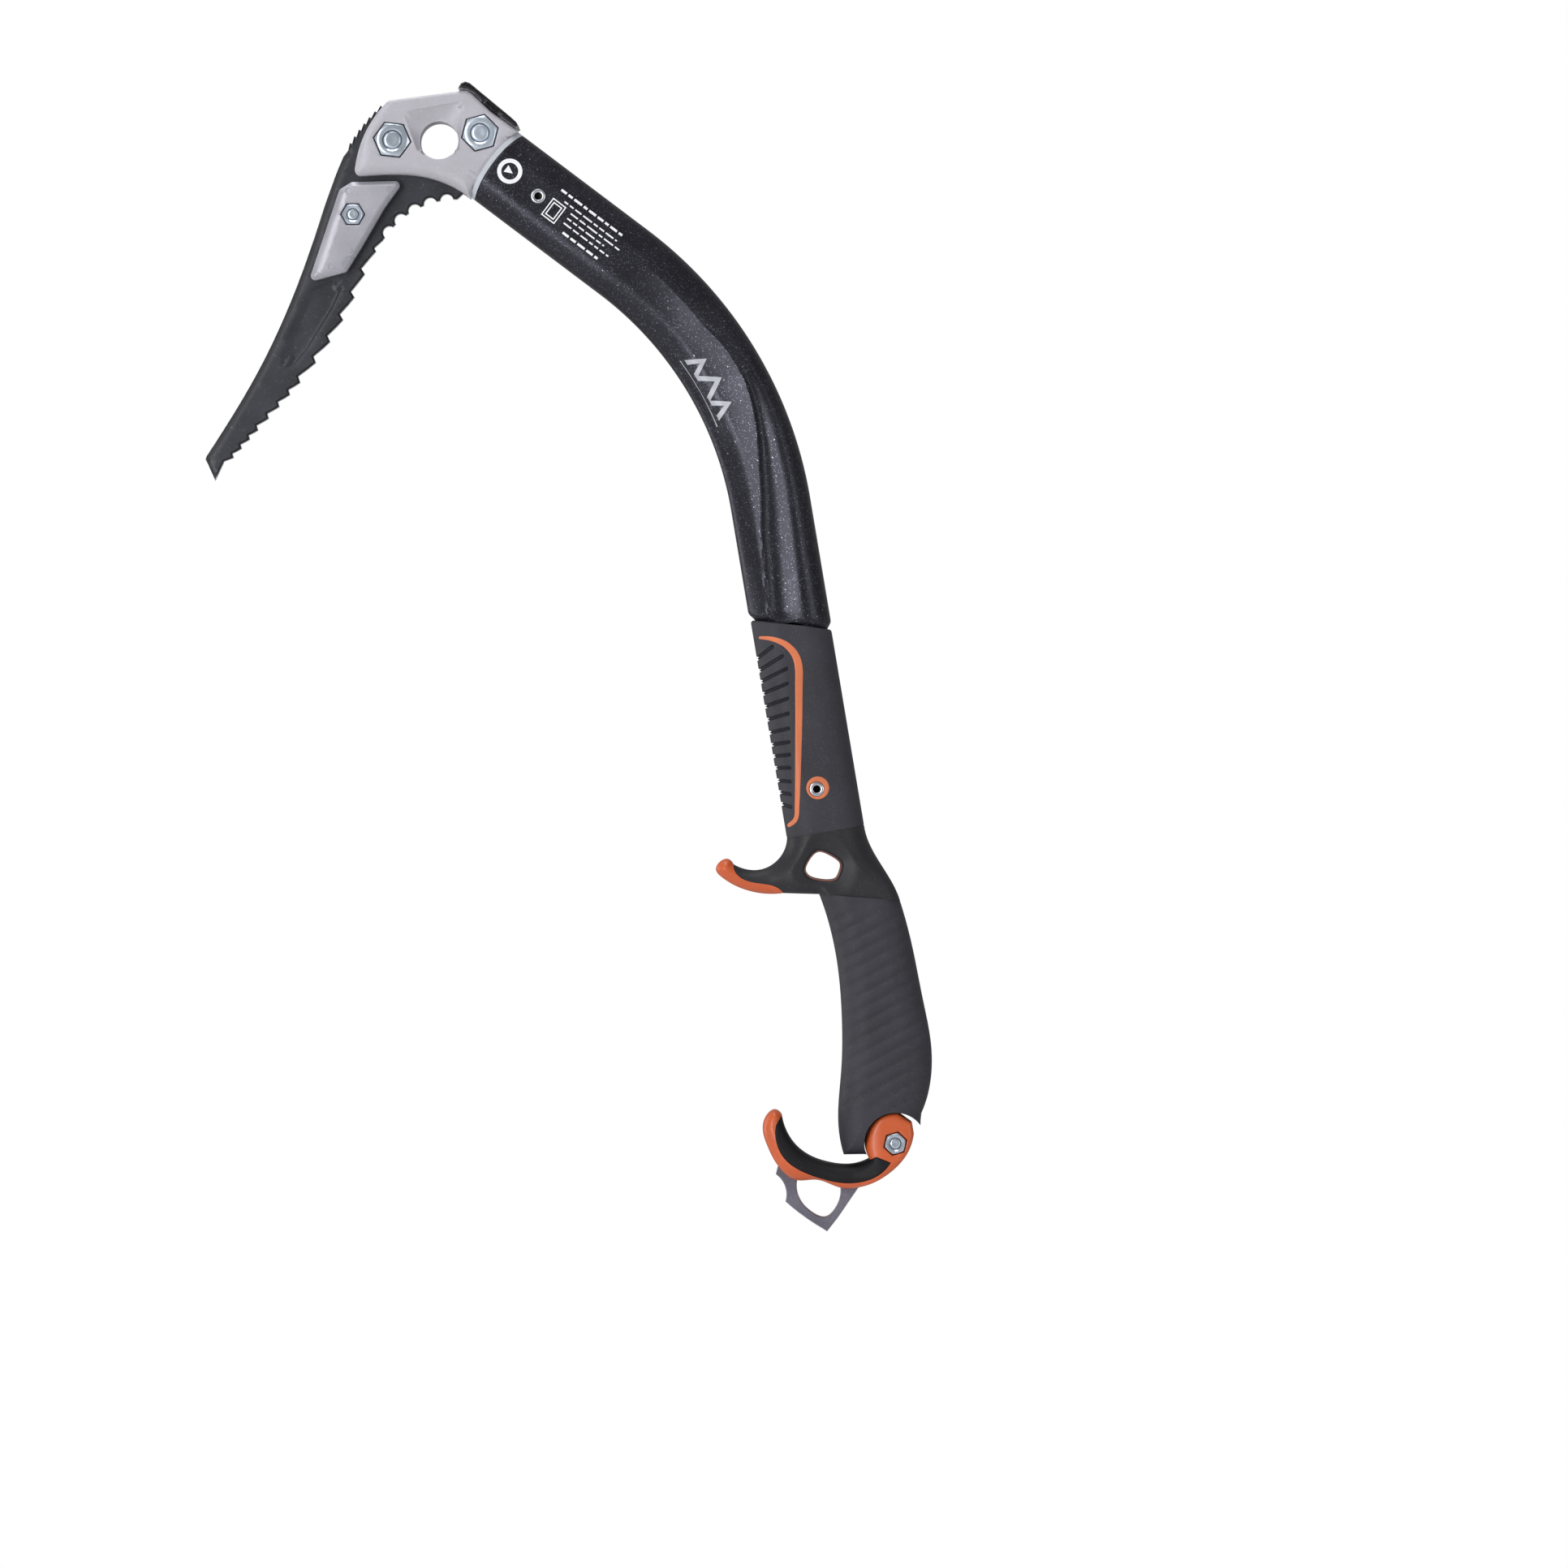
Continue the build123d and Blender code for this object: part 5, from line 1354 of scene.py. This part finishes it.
class ICEAXE_OT_rivets(bpy.types.Operator):
    """Builds the tubular rivets of the head and of the handle, with painted shade in their bores"""
    bl_idname = "iceaxe.rivets"
    bl_label = "Rivets"

    def execute(self, context):
        for node, length in (("head_rivets", 5.0), ("handle_rivets", 8.0)):
            top = sized(node, 1) / 2
            rows = [(top - length, 2.05), (top - 0.72, 2.08), (top - 0.62, 2.9), (top - 0.45, 3.0),
                    (top - 0.22, 2.92), (top - 0.08, 2.66), (top, 2.3), (top - 0.05, 1.9),
                    (top - 0.25, 1.6), (top - 0.6, 1.45), (top - length + 1.4, 1.42),
                    (top - length + 1.0, 0.5)]
            rows = [(h, r, False) for h, r in rows]
            sides = [lathe(middle(node), outward, rows, count=72) for outward in (-1, 1)]
            verts, faces = joined(*sides)
            piece = new_piece(node + "_turned", verts, faces, finish("rivet_steel"), sharp=30)
            # the bore faces get the painted-shade finish, a dark stand-in for the shade inside the
            # holes
            piece.data.materials.append(finish("rivet_bore_painted_shade"))
            x, z = middle(node)
            for face in piece.data.polygons:
                spot = face.center / MM
                in_bore = np.hypot(spot.x - x, spot.z - z) < 1.5 and abs(spot.y) < top - 0.3
                face.material_index = int(in_bore and face.normal.y * spot.y >= -0.01)
            settle(piece, AXE, "rivet_steel", node)
        return {"FINISHED"}


# ---------------------------------------------------------------- pick
SPINE = [(-38.6, -4.2), (-39.9, -6.2), (-43.6, -15.2), (-52.7, -42.0), (-62.8, -68.9),
         (-75.6, -95.8), (-91.7, -122.7), (-96.6, -130.2), (-96.9, -131.5), (-92.9, -140.2)]
BLADE_POCKET = [(-53.4, -60.8), (-44.8, -57.0), (-38.9, -58.4), (-43.8, -69.0), (-54.1, -85.8),
                (-59.3, -92.3), (-66.2, -95.2), (-62.2, -80.5)]


class ICEAXE_OT_pick(bpy.types.Operator):
    """Builds the toothed pick with its bevelled spine and side pockets, with painted shade on the
    bevels
    """
    bl_idname = "iceaxe.pick"
    bl_label = "Pick"

    def execute(self, context):
        half = sized("pick", 1) / 2
        spine_width = setting("pick", "spine_bevel")
        tooth_width = setting("pick", "tooth_bevel")
        spine = catmull(SPINE[:8], 6)
        spine = np.vstack([spine, SPINE[8:]])
        spine_sides = np.stack([spine[:-1], spine[1:]], 1)
        pocket = turned_to(spaced(np.array(BLADE_POCKET), 1.0), 1)
        pocket = moved_in(moved_in(pocket, 1.6), -1.5)

        def height(flat, gap):
            from_spine = edge_distance(flat, spine_sides)
            spine_t = np.clip(1 - from_spine / spine_width, 0, 1)
            tooth_t = np.clip(1 - gap / tooth_width, 0, 1)
            level = half - np.maximum(0.8 * spine_t, 0.5 * tooth_t)
            deep = signed_distance(flat, pocket)
            return level - 0.75 * smooth(0.2, -1.5, deep)

        loops = section_loops("pick", 1.0)
        verts, faces, rim = plate_mesh(
            loops, height, height, step=2.0, along=0.9, rings=(0.35, tooth_width, spine_width),
            features=[(pocket, (-0.2, 0.2, 0.7, 1.2, 1.6))])
        blade = new_piece("pick_blade", verts, faces, finish("pick_steel"), sharp=22, rim=rim)
        # the bevels get the painted-shade finish, darker than the pick's faces because of how light
        # falls on them
        blade.data.materials.append(finish("pick_bevel_shade_and_wear"))
        centres = np.zeros(len(blade.data.polygons) * 3)
        blade.data.polygons.foreach_get("center", centres)
        flat = centres.reshape(-1, 3)[:, [0, 2]] / MM
        dark = edge_distance(flat, spine_sides) < spine_width * 0.97
        dark |= edge_distance(flat, sides_of(loops[0])) < tooth_width * 0.9
        blade.data.polygons.foreach_set("material_index", dark.astype(int).tolist())
        settle(blade, AXE, "pick_steel", "pick")
        return {"FINISHED"}


class ICEAXE_OT_weights(bpy.types.Operator):
    """Builds the two bevelled pick weights"""
    bl_idname = "iceaxe.weights"
    bl_label = "Pick weights"

    def execute(self, context):
        bevel = setting("pick", "weight_bevel")
        for side_name, side in (("left", -1), ("right", 1)):
            node = "pick_weight_" + side_name
            outer_y = 2.0 + sized(node, 1)
            loops = section_loops(node, side * 3.0)
            border = sides_of(turned_to(spaced(loops[0], 0.8), 1))
            pocket = hexagon(middle("weight_nut"), 9.0, 0.0)
            dots = [circle(at, 1.25, 20) for at in ((-37.4, -21.0), (-20.4, -20.2),
                                                    (-44.6, -52.0), (-35.6, -47.2))]

            def height(flat, gap):
                x, z = flat.T
                edge = edge_distance(flat, border)
                width = bevel * (1 + 0.9 * smooth(-36, -44, x) * smooth(-58, -50, z))
                t = np.clip(1 - edge / width, 0, 1)
                level = outer_y - 1.7 * t ** 1.35
                for dot in dots:
                    level = level - 0.22 * (signed_distance(flat, dot) < 0)
                deep = signed_distance(flat, pocket)
                lip = np.clip(1 - deep / 0.4, 0, 1)
                return np.where(deep < 0, outer_y - 3.4, level - 0.25 * lip)

            features = [(pocket, (0.03, -0.03, -0.4))] + [(dot, (0.06, -0.06)) for dot in dots]
            verts, faces, rim = plate_mesh(
                loops, height, lambda flat, gap: np.full(len(flat), -2.02), step=1.2, along=0.8,
                rings=(0.3, 0.9, 1.5, bevel, bevel * 1.9), features=features)
            if side > 0:
                verts = [(x, -y, z) for x, y, z in verts]
            plate = new_piece("weight_plate_" + side_name, verts, faces, finish("weight_steel"),
                              sharp=26, rim=rim)
            settle(plate, AXE, "weight_steel", node)
        return {"FINISHED"}


# ---------------------------------------------------------------- handle
GROOVE_ENDS = [(138.2, -208.8), (142.4, -212.8), (144.2, -218.0), (144.4, -224.2),
               (144.6, -230.4), (144.8, -236.6), (145.0, -242.8), (145.1, -248.4),
               (145.3, -253.7), (145.4, -259.1), (145.6, -264.8), (145.7, -270.1),
               (145.9, -275.4)]
GROOVE_FALL = [37, 31, 26, 22, 19, 16, 12, 9, 5, 1, -4, -9, -16]        # degrees


class ICEAXE_OT_upper_grip(bpy.types.Operator):
    """Builds the rubber grip with its fan of grooves"""
    bl_idname = "iceaxe.upper_grip"
    bl_label = "Upper grip"

    def execute(self, context):
        depth = setting("handle", "rib_depth")
        width = setting("handle", "rib_width")
        count = min(context.scene.ice_axe_handle.rib_count, len(GROOVE_ENDS))
        places = section_samples(64, 56, 18, end=14)
        u = section_at(places, GRIP)[0]
        end_s, end_u = along_shaft(GROOVE_ENDS)
        slopes = [tan(radians(fall) - (pi / 2 - TOP_SLOPE - BEND)) for fall in GROOVE_FALL]
        guides = [grip_top(u)]
        for s, at, slope in list(zip(end_s, end_u, slopes))[:count]:
            guides.append(s + slope * np.maximum(at - u, 0))
        guides.append(np.full(len(u), PARTING - 0.05))
        half = width / 2
        steps = [half + 0.45, half + 0.1, half - 0.2, half * 0.52, half * 0.25]
        offsets = [-step for step in steps] + [0.0] + steps[::-1]
        rows = []

        def add_row(s, inset, cut):
            across, sideways = section_at(places, GRIP, inset)
            cut = np.broadcast_to(cut, u.shape)
            rows.append((s, across - places[:, 2] * cut, sideways - places[:, 3] * cut))

        lip = 1.2
        for angle in (0, 25, 50, 70, 90):
            add_row(guides[0] + lip * (1 - cos(radians(angle))), lip * (1 - sin(radians(angle))),
                    0.0)
        last = guides[0] + lip
        for index in range(1, count + 1):
            lean = cos(np.arctan(slopes[index - 1]))
            stretch = np.where(u < end_u[index - 1], 1 / lean, 1.0)
            first = guides[index] + offsets[0] * stretch
            for t in (0.25, 0.5, 0.75):
                add_row(last + (first - last) * t, 0.0, 0.0)
            for offset in offsets:
                past = np.maximum(u - end_u[index - 1] + half, 0)
                gap = np.hypot(offset, past)
                wall = smooth(half + 0.12, half - 0.22, gap)
                middle_rise = 0.7 * smooth(half * 0.55, half * 0.1, gap)
                add_row(guides[index] + offset * stretch, 0.0, depth * (wall - middle_rise))
            last = guides[index] + offsets[-1] * stretch
        for t in (0.25, 0.5, 0.75, 0.92):
            add_row(last + (guides[-1] - last) * t, 0.0, 0.0)
        add_row(guides[-1], 0.12, 0.0)
        inner = 2.05
        for s in np.linspace(PARTING - 0.05, LOW_START + 50, 8):
            add_row(np.full(len(u), s), inner, 0.0)
        add_row(guides[0] + 0.2, inner, 0.0)
        verts = loft(rows)
        faces = ring_faces(len(rows), len(places), closed=True)
        grip = new_piece("upper_grip_rubber", verts, faces, finish("grip_rubber"), sharp=50)
        carve(grip, prism(circle(middle("handle_rivets"), 3.15, 48), 20), sharp=50)
        settle(grip, AXE, "grip_rubber", "upper_grip")
        return {"FINISHED"}


class ICEAXE_OT_inlays(bpy.types.Operator):
    """Builds the coloured stripes and the rings round the handle's rivets"""
    bl_idname = "iceaxe.inlays"
    bl_label = "Inlays"

    def execute(self, context):
        stripe = [(132.6, -205.4, 1.3), (136.0, -205.7, 1.8), (140.0, -206.7, 2.3),
                  (144.0, -208.9, 2.8), (147.2, -212.8, 3.2), (148.6, -218.0, 3.4),
                  (148.65, -226.0, 3.3), (148.6, -238.0, 3.1), (148.4, -252.0, 2.8),
                  (148.15, -266.0, 2.4), (147.9, -275.0, 2.1), (147.75, -278.6, 2.0),
                  (147.1, -280.6, 2.0), (145.9, -281.9, 2.0), (144.6, -282.8, 1.8)]

        def surface(flat):
            return side_height(along_shaft(flat)[1], GRIP)

        ring = [circle(middle("rivet_ring_left"), 4.8, 60),
                circle(middle("handle_rivets"), 3.1, 48)]
        for name, node, groups in (("inlay_stripe", "grip_inlay", [[ribbon(stripe)]]),
                                   ("rivet_ring", "rivet_ring", [ring])):
            solids = on_surface(groups, surface, 0.14, 0.9, step=0.7, rings=(0.12, 0.3),
                                rounding=0.3)
            for side_name, side in zip(("left", "right"), solids):
                verts, faces = joined(*side)
                piece = new_piece(name + "_face_" + side_name, verts, faces,
                                  finish("inlay_orange"), sharp=50)
                settle(piece, AXE, "inlay_orange", node + "_" + side_name)
        return {"FINISHED"}


def soft_plate(name, loops, border, height, material, rings, step=1.5, along=1.0, sharp=42):
    """A moulding whose border is rounded only where border says."""
    def side(flat, gap):
        return height(flat, edge_distance(flat, border))

    verts, faces, rim = plate_mesh(loops, side, side, step=step, along=along, rings=rings)
    return new_piece(name, verts, faces, finish(material), sharp=sharp, rim=rim)


def joint_line(first, second):
    return (tuple(first), tuple(second))


PARTING_ENDS = [BEND_END + LOW_DIR * (PARTING - LOW_START) + LOW_SIDE * k * GRIP[0] / 2
                for k in (-1, 1)]
TRIGGER_BASE = [np.array([157.0, -311.3]), np.array([190.4, -313.8])]


class ICEAXE_OT_trigger(bpy.types.Operator):
    """Builds the trigger moulding and its coloured tip"""
    bl_idname = "iceaxe.trigger"
    bl_label = "Trigger"

    def execute(self, context):
        cover = section_loops("trigger_cover", -8.6)
        cover[1] = softened(moved_in(turned_to(cover[1], 1), -0.45), 70)
        tip = section_loops("trigger_tip", 1.0)[:1]
        cover_sides = sides_of(turned_to(spaced(cover[0], 0.8), 1))
        tip_sides = sides_of(turned_to(spaced(tip[0], 0.8), 1))
        shared_cover = edge_distance(cover_sides.mean(axis=1), tip_sides) < 0.12
        shared_tip = edge_distance(tip_sides.mean(axis=1), cover_sides) < 0.12
        joints = [joint_line(*PARTING_ENDS), joint_line(*TRIGGER_BASE)]
        border = np.concatenate([away_from(cover_sides[~shared_cover], joints),
                                 tip_sides[~shared_tip]])
        hole_sides = sides_of(cover[1])

        def height(flat, edge):
            s, u = along_shaft(flat)
            wide = smooth(-27, -14.5, u)
            full = 9.0 + 3.8 * wide
            radius = 5.6 + 6.0 * wide * smooth(PARTING + 26, PARTING + 6, s)
            level = rounded_height(edge, full, radius)
            from_hole = edge_distance(flat, hole_sides)
            dip = 1.5 * smooth(7.5, 0.0, from_hole)
            return np.minimum(level, full - dip - 0.9 * np.clip(1 - from_hole / 0.9, 0, 1) ** 2)

        rings = round_rings(5.6, 7) + [7.5, 9.5]
        body = soft_plate("trigger_moulding", cover[:2], border, height, "trigger_rubber", rings,
                          step=1.3, along=0.9)
        settle(body, AXE, "trigger_rubber", "trigger_cover")
        end = soft_plate("trigger_tip_moulding", tip, border, height, "griprest_orange",
                         (0.15, 0.5, 1.0, 1.6), step=0.7, along=0.6)
        settle(end, AXE, "griprest_orange", "trigger_tip")
        outer = turned_to(spaced(cover[1], 0.8), 1)
        inner = moved_in(outer, 0.7)

        def lining(flat, gap):
            return np.full(len(flat), 10.2)

        verts, faces, rim = plate_mesh([moved_in(outer, 0.02), inner], lining, lining, step=1.0,
                                       along=0.8)
        ring = new_piece("trigger_hole_lining", verts, faces, finish("hole_lining"), rim=rim)
        settle(ring, AXE, "trigger_rubber")
        return {"FINISHED"}


class ICEAXE_OT_lower_grip(bpy.types.Operator):
    """Builds the lower grip with its finger grooves"""
    bl_idname = "iceaxe.lower_grip"
    bl_label = "Lower grip"

    def execute(self, context):
        half = sized("lower_grip", 1) / 2
        loops = section_loops("lower_grip", -(half - 4.2))[:1]
        arm = loops[0] - PIVOT
        far = np.hypot(*arm.T)[:, None]
        edge_round = 11.0
        knuckle_reach = 13.3                  # points nearer the pivot than this face the knuckle
        knuckle_face_r = 12.75
        loops[0] = np.where(far < knuckle_reach, PIVOT + arm / far * knuckle_face_r, loops[0])
        sides = sides_of(turned_to(spaced(loops[0], 0.8), 1))
        near_pivot = np.hypot(*(sides.mean(axis=1) - PIVOT).T) < 13.6
        border = away_from(sides[~near_pivot], [joint_line(*TRIGGER_BASE)])

        def height(flat, edge):
            z = flat[:, 1]
            level = rounded_height(edge, half, edge_round)
            s, u = along_shaft(flat)
            wave = 0.5 + 0.5 * np.cos((s + 0.35 * u) * 2 * pi / 5.6)
            band = smooth(-316, -322, z) * smooth(-404, -396, z)
            return level - 0.55 * wave ** 3 * band * smooth(0.0, 2.5, edge)

        body = soft_plate("lower_grip_rubber", loops, border, height, "grip_rubber",
                          round_rings(edge_round, 9), step=0.9, along=0.9, sharp=60)
        settle(body, AXE, "grip_rubber", "lower_grip")
        return {"FINISHED"}


# ---------------------------------------------------------------- griprest
class ICEAXE_OT_griprest(bpy.types.Operator):
    """Builds the griprest shell and its dark lining"""
    bl_idname = "iceaxe.griprest"
    bl_label = "Griprest"

    def execute(self, context):
        radius = setting("handle", "pad_round")
        wide = sized("griprest_shell", 1) / 2
        narrow = sized("griprest_pad", 1) / 2
        shell = section_loops("griprest_shell", -(wide - 4.2))
        pad = section_loops("griprest_pad", -(wide - 4.2))[:1]
        shell_sides = sides_of(turned_to(spaced(shell[0], 0.8), 1))
        pad_sides = sides_of(turned_to(spaced(pad[0], 0.8), 1))
        shell_shared = edge_distance(shell_sides.mean(axis=1), pad_sides) < 0.12
        pad_shared = edge_distance(pad_sides.mean(axis=1), shell_sides) < 0.12
        border = np.concatenate([shell_sides[~shell_shared], pad_sides[~pad_shared]])
        pocket = hexagon(PIVOT, 9.0, 17.0)

        def height(flat, edge):
            knuckle = smooth(170, 183, flat[:, 0])
            full = narrow + (wide - narrow) * knuckle
            level = rounded_height(edge, full, radius + (2.4 - radius) * knuckle)
            deep = signed_distance(flat, pocket)
            lip = np.clip(1 - deep / 0.6, 0, 1)
            return np.where(deep < 0, wide - 4.0, level - 0.35 * lip ** 2)

        def shell_side(flat, gap):
            return height(flat, edge_distance(flat, border))

        def pad_side(flat, gap):
            return height(flat, edge_distance(flat, border)) - 0.25 * np.clip(
                1 - edge_distance(flat, shell_sides) / 0.6, 0, 1)

        rings = round_rings(radius, 8)
        holes = [loop for loop in shell[1:] if abs(area(loop)) < 60]
        verts, faces, rim = plate_mesh(shell[:1] + holes, shell_side, shell_side, step=1.1,
                                       along=0.8, rings=rings,
                                       features=[(pocket, (0.03, -0.03, -0.3, -0.6))])
        outer = new_piece("griprest_shell_moulding", verts, faces, finish("griprest_orange"),
                          sharp=42, rim=rim)
        verts, faces, rim = plate_mesh(pad, pad_side, pad_side, step=1.1, along=0.8,
                                       rings=[0.6] + rings)
        lining = new_piece("griprest_lining", verts, faces, finish("pad_rubber"), sharp=42,
                           rim=rim)
        lean = radians(108.5)
        swing = radians(5.0)
        half, reach = 6.4, 30.0
        ahead = np.array([cos(lean), sin(lean)])
        aside = np.array([-sin(lean), cos(lean)])
        spread = half + reach * sin(swing)
        ear_slot = [PIVOT + aside * half, PIVOT + ahead * reach + aside * spread,
                    PIVOT + ahead * reach - aside * spread, PIVOT - aside * half]
        room = 6.7
        turned_loop = prism(circle(PIVOT, half, 64), room)
        for piece in (outer, lining):
            carve(piece, prism(ear_slot, room), turned_loop, sharp=42)
        settle(outer, GRIPREST, "griprest_orange", "griprest_shell")
        settle(lining, GRIPREST, "pad_rubber", "griprest_pad")
        return {"FINISHED"}


class ICEAXE_OT_spike(bpy.types.Operator):
    """Builds the steel spike"""
    bl_idname = "iceaxe.spike"
    bl_label = "Spike"

    def execute(self, context):
        half = sized("spike", 1) / 2
        loops = section_loops("spike", 1.0)

        def height(flat, gap):
            return half - 0.35 * np.clip(1 - gap / 0.5, 0, 1)

        verts, faces, rim = plate_mesh(loops, height, height, step=1.4, along=0.8,
                                       rings=(0.25, 0.5))
        plate = new_piece("spike_plate", verts, faces, finish("spike_steel"), sharp=24, rim=rim)
        settle(plate, GRIPREST, "spike_steel", "spike")
        return {"FINISHED"}


class ICEAXE_OT_kept_parts(bpy.types.Operator):
    """Finishes the parts whose own shape stays: the collar, the core and the bushes"""
    bl_idname = "iceaxe.kept_parts"
    bl_label = "Collar, core and bushes"

    def execute(self, context):
        for node, material in (("shaft_collar", "collar_plastic"), ("handle_core", "core_plastic"),
                               ("pivot_bushes", "bush_bronze")):
            mesh_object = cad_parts[node]
            for slot in mesh_object.material_slots:
                slot.link = "OBJECT"
                slot.material = finish(material)
        return {"FINISHED"}


# ---------------------------------------------------------------- panel and running
OPERATORS = [ICEAXE_OT_studio, ICEAXE_OT_shaft, ICEAXE_OT_shaft_marks, ICEAXE_OT_head,
             ICEAXE_OT_hammer, ICEAXE_OT_fasteners, ICEAXE_OT_rivets, ICEAXE_OT_pick,
             ICEAXE_OT_weights, ICEAXE_OT_upper_grip, ICEAXE_OT_inlays, ICEAXE_OT_trigger,
             ICEAXE_OT_lower_grip, ICEAXE_OT_griprest, ICEAXE_OT_spike, ICEAXE_OT_kept_parts]


class ICEAXE_PT_panel(bpy.types.Panel):
    """Lists the pieces and their settings"""
    bl_idname = "ICEAXE_PT_panel"
    bl_label = "Ice Axe"
    bl_space_type = "VIEW_3D"
    bl_region_type = "UI"
    bl_category = "Ice Axe"

    def draw(self, context):
        for operator in OPERATORS:
            self.layout.operator(operator.bl_idname)
        for name in SETTINGS:
            group = getattr(context.scene, name)
            box = self.layout.box()
            for key in type(group).__annotations__:
                box.prop(group, key)


def register():
    for cls in (*SETTINGS.values(), *OPERATORS, ICEAXE_PT_panel):
        bpy.utils.register_class(cls)
    for name, cls in SETTINGS.items():
        setattr(bpy.types.Scene, name, PointerProperty(type=cls))


def unregister():
    for name in SETTINGS:
        delattr(bpy.types.Scene, name)
    for cls in reversed((*SETTINGS.values(), *OPERATORS, ICEAXE_PT_panel)):
        bpy.utils.unregister_class(cls)


def main():
    register()
    for operator in OPERATORS:
        area_name, call = operator.bl_idname.split(".")
        getattr(getattr(bpy.ops, area_name), call)()


if __name__ == "__main__":
    main()
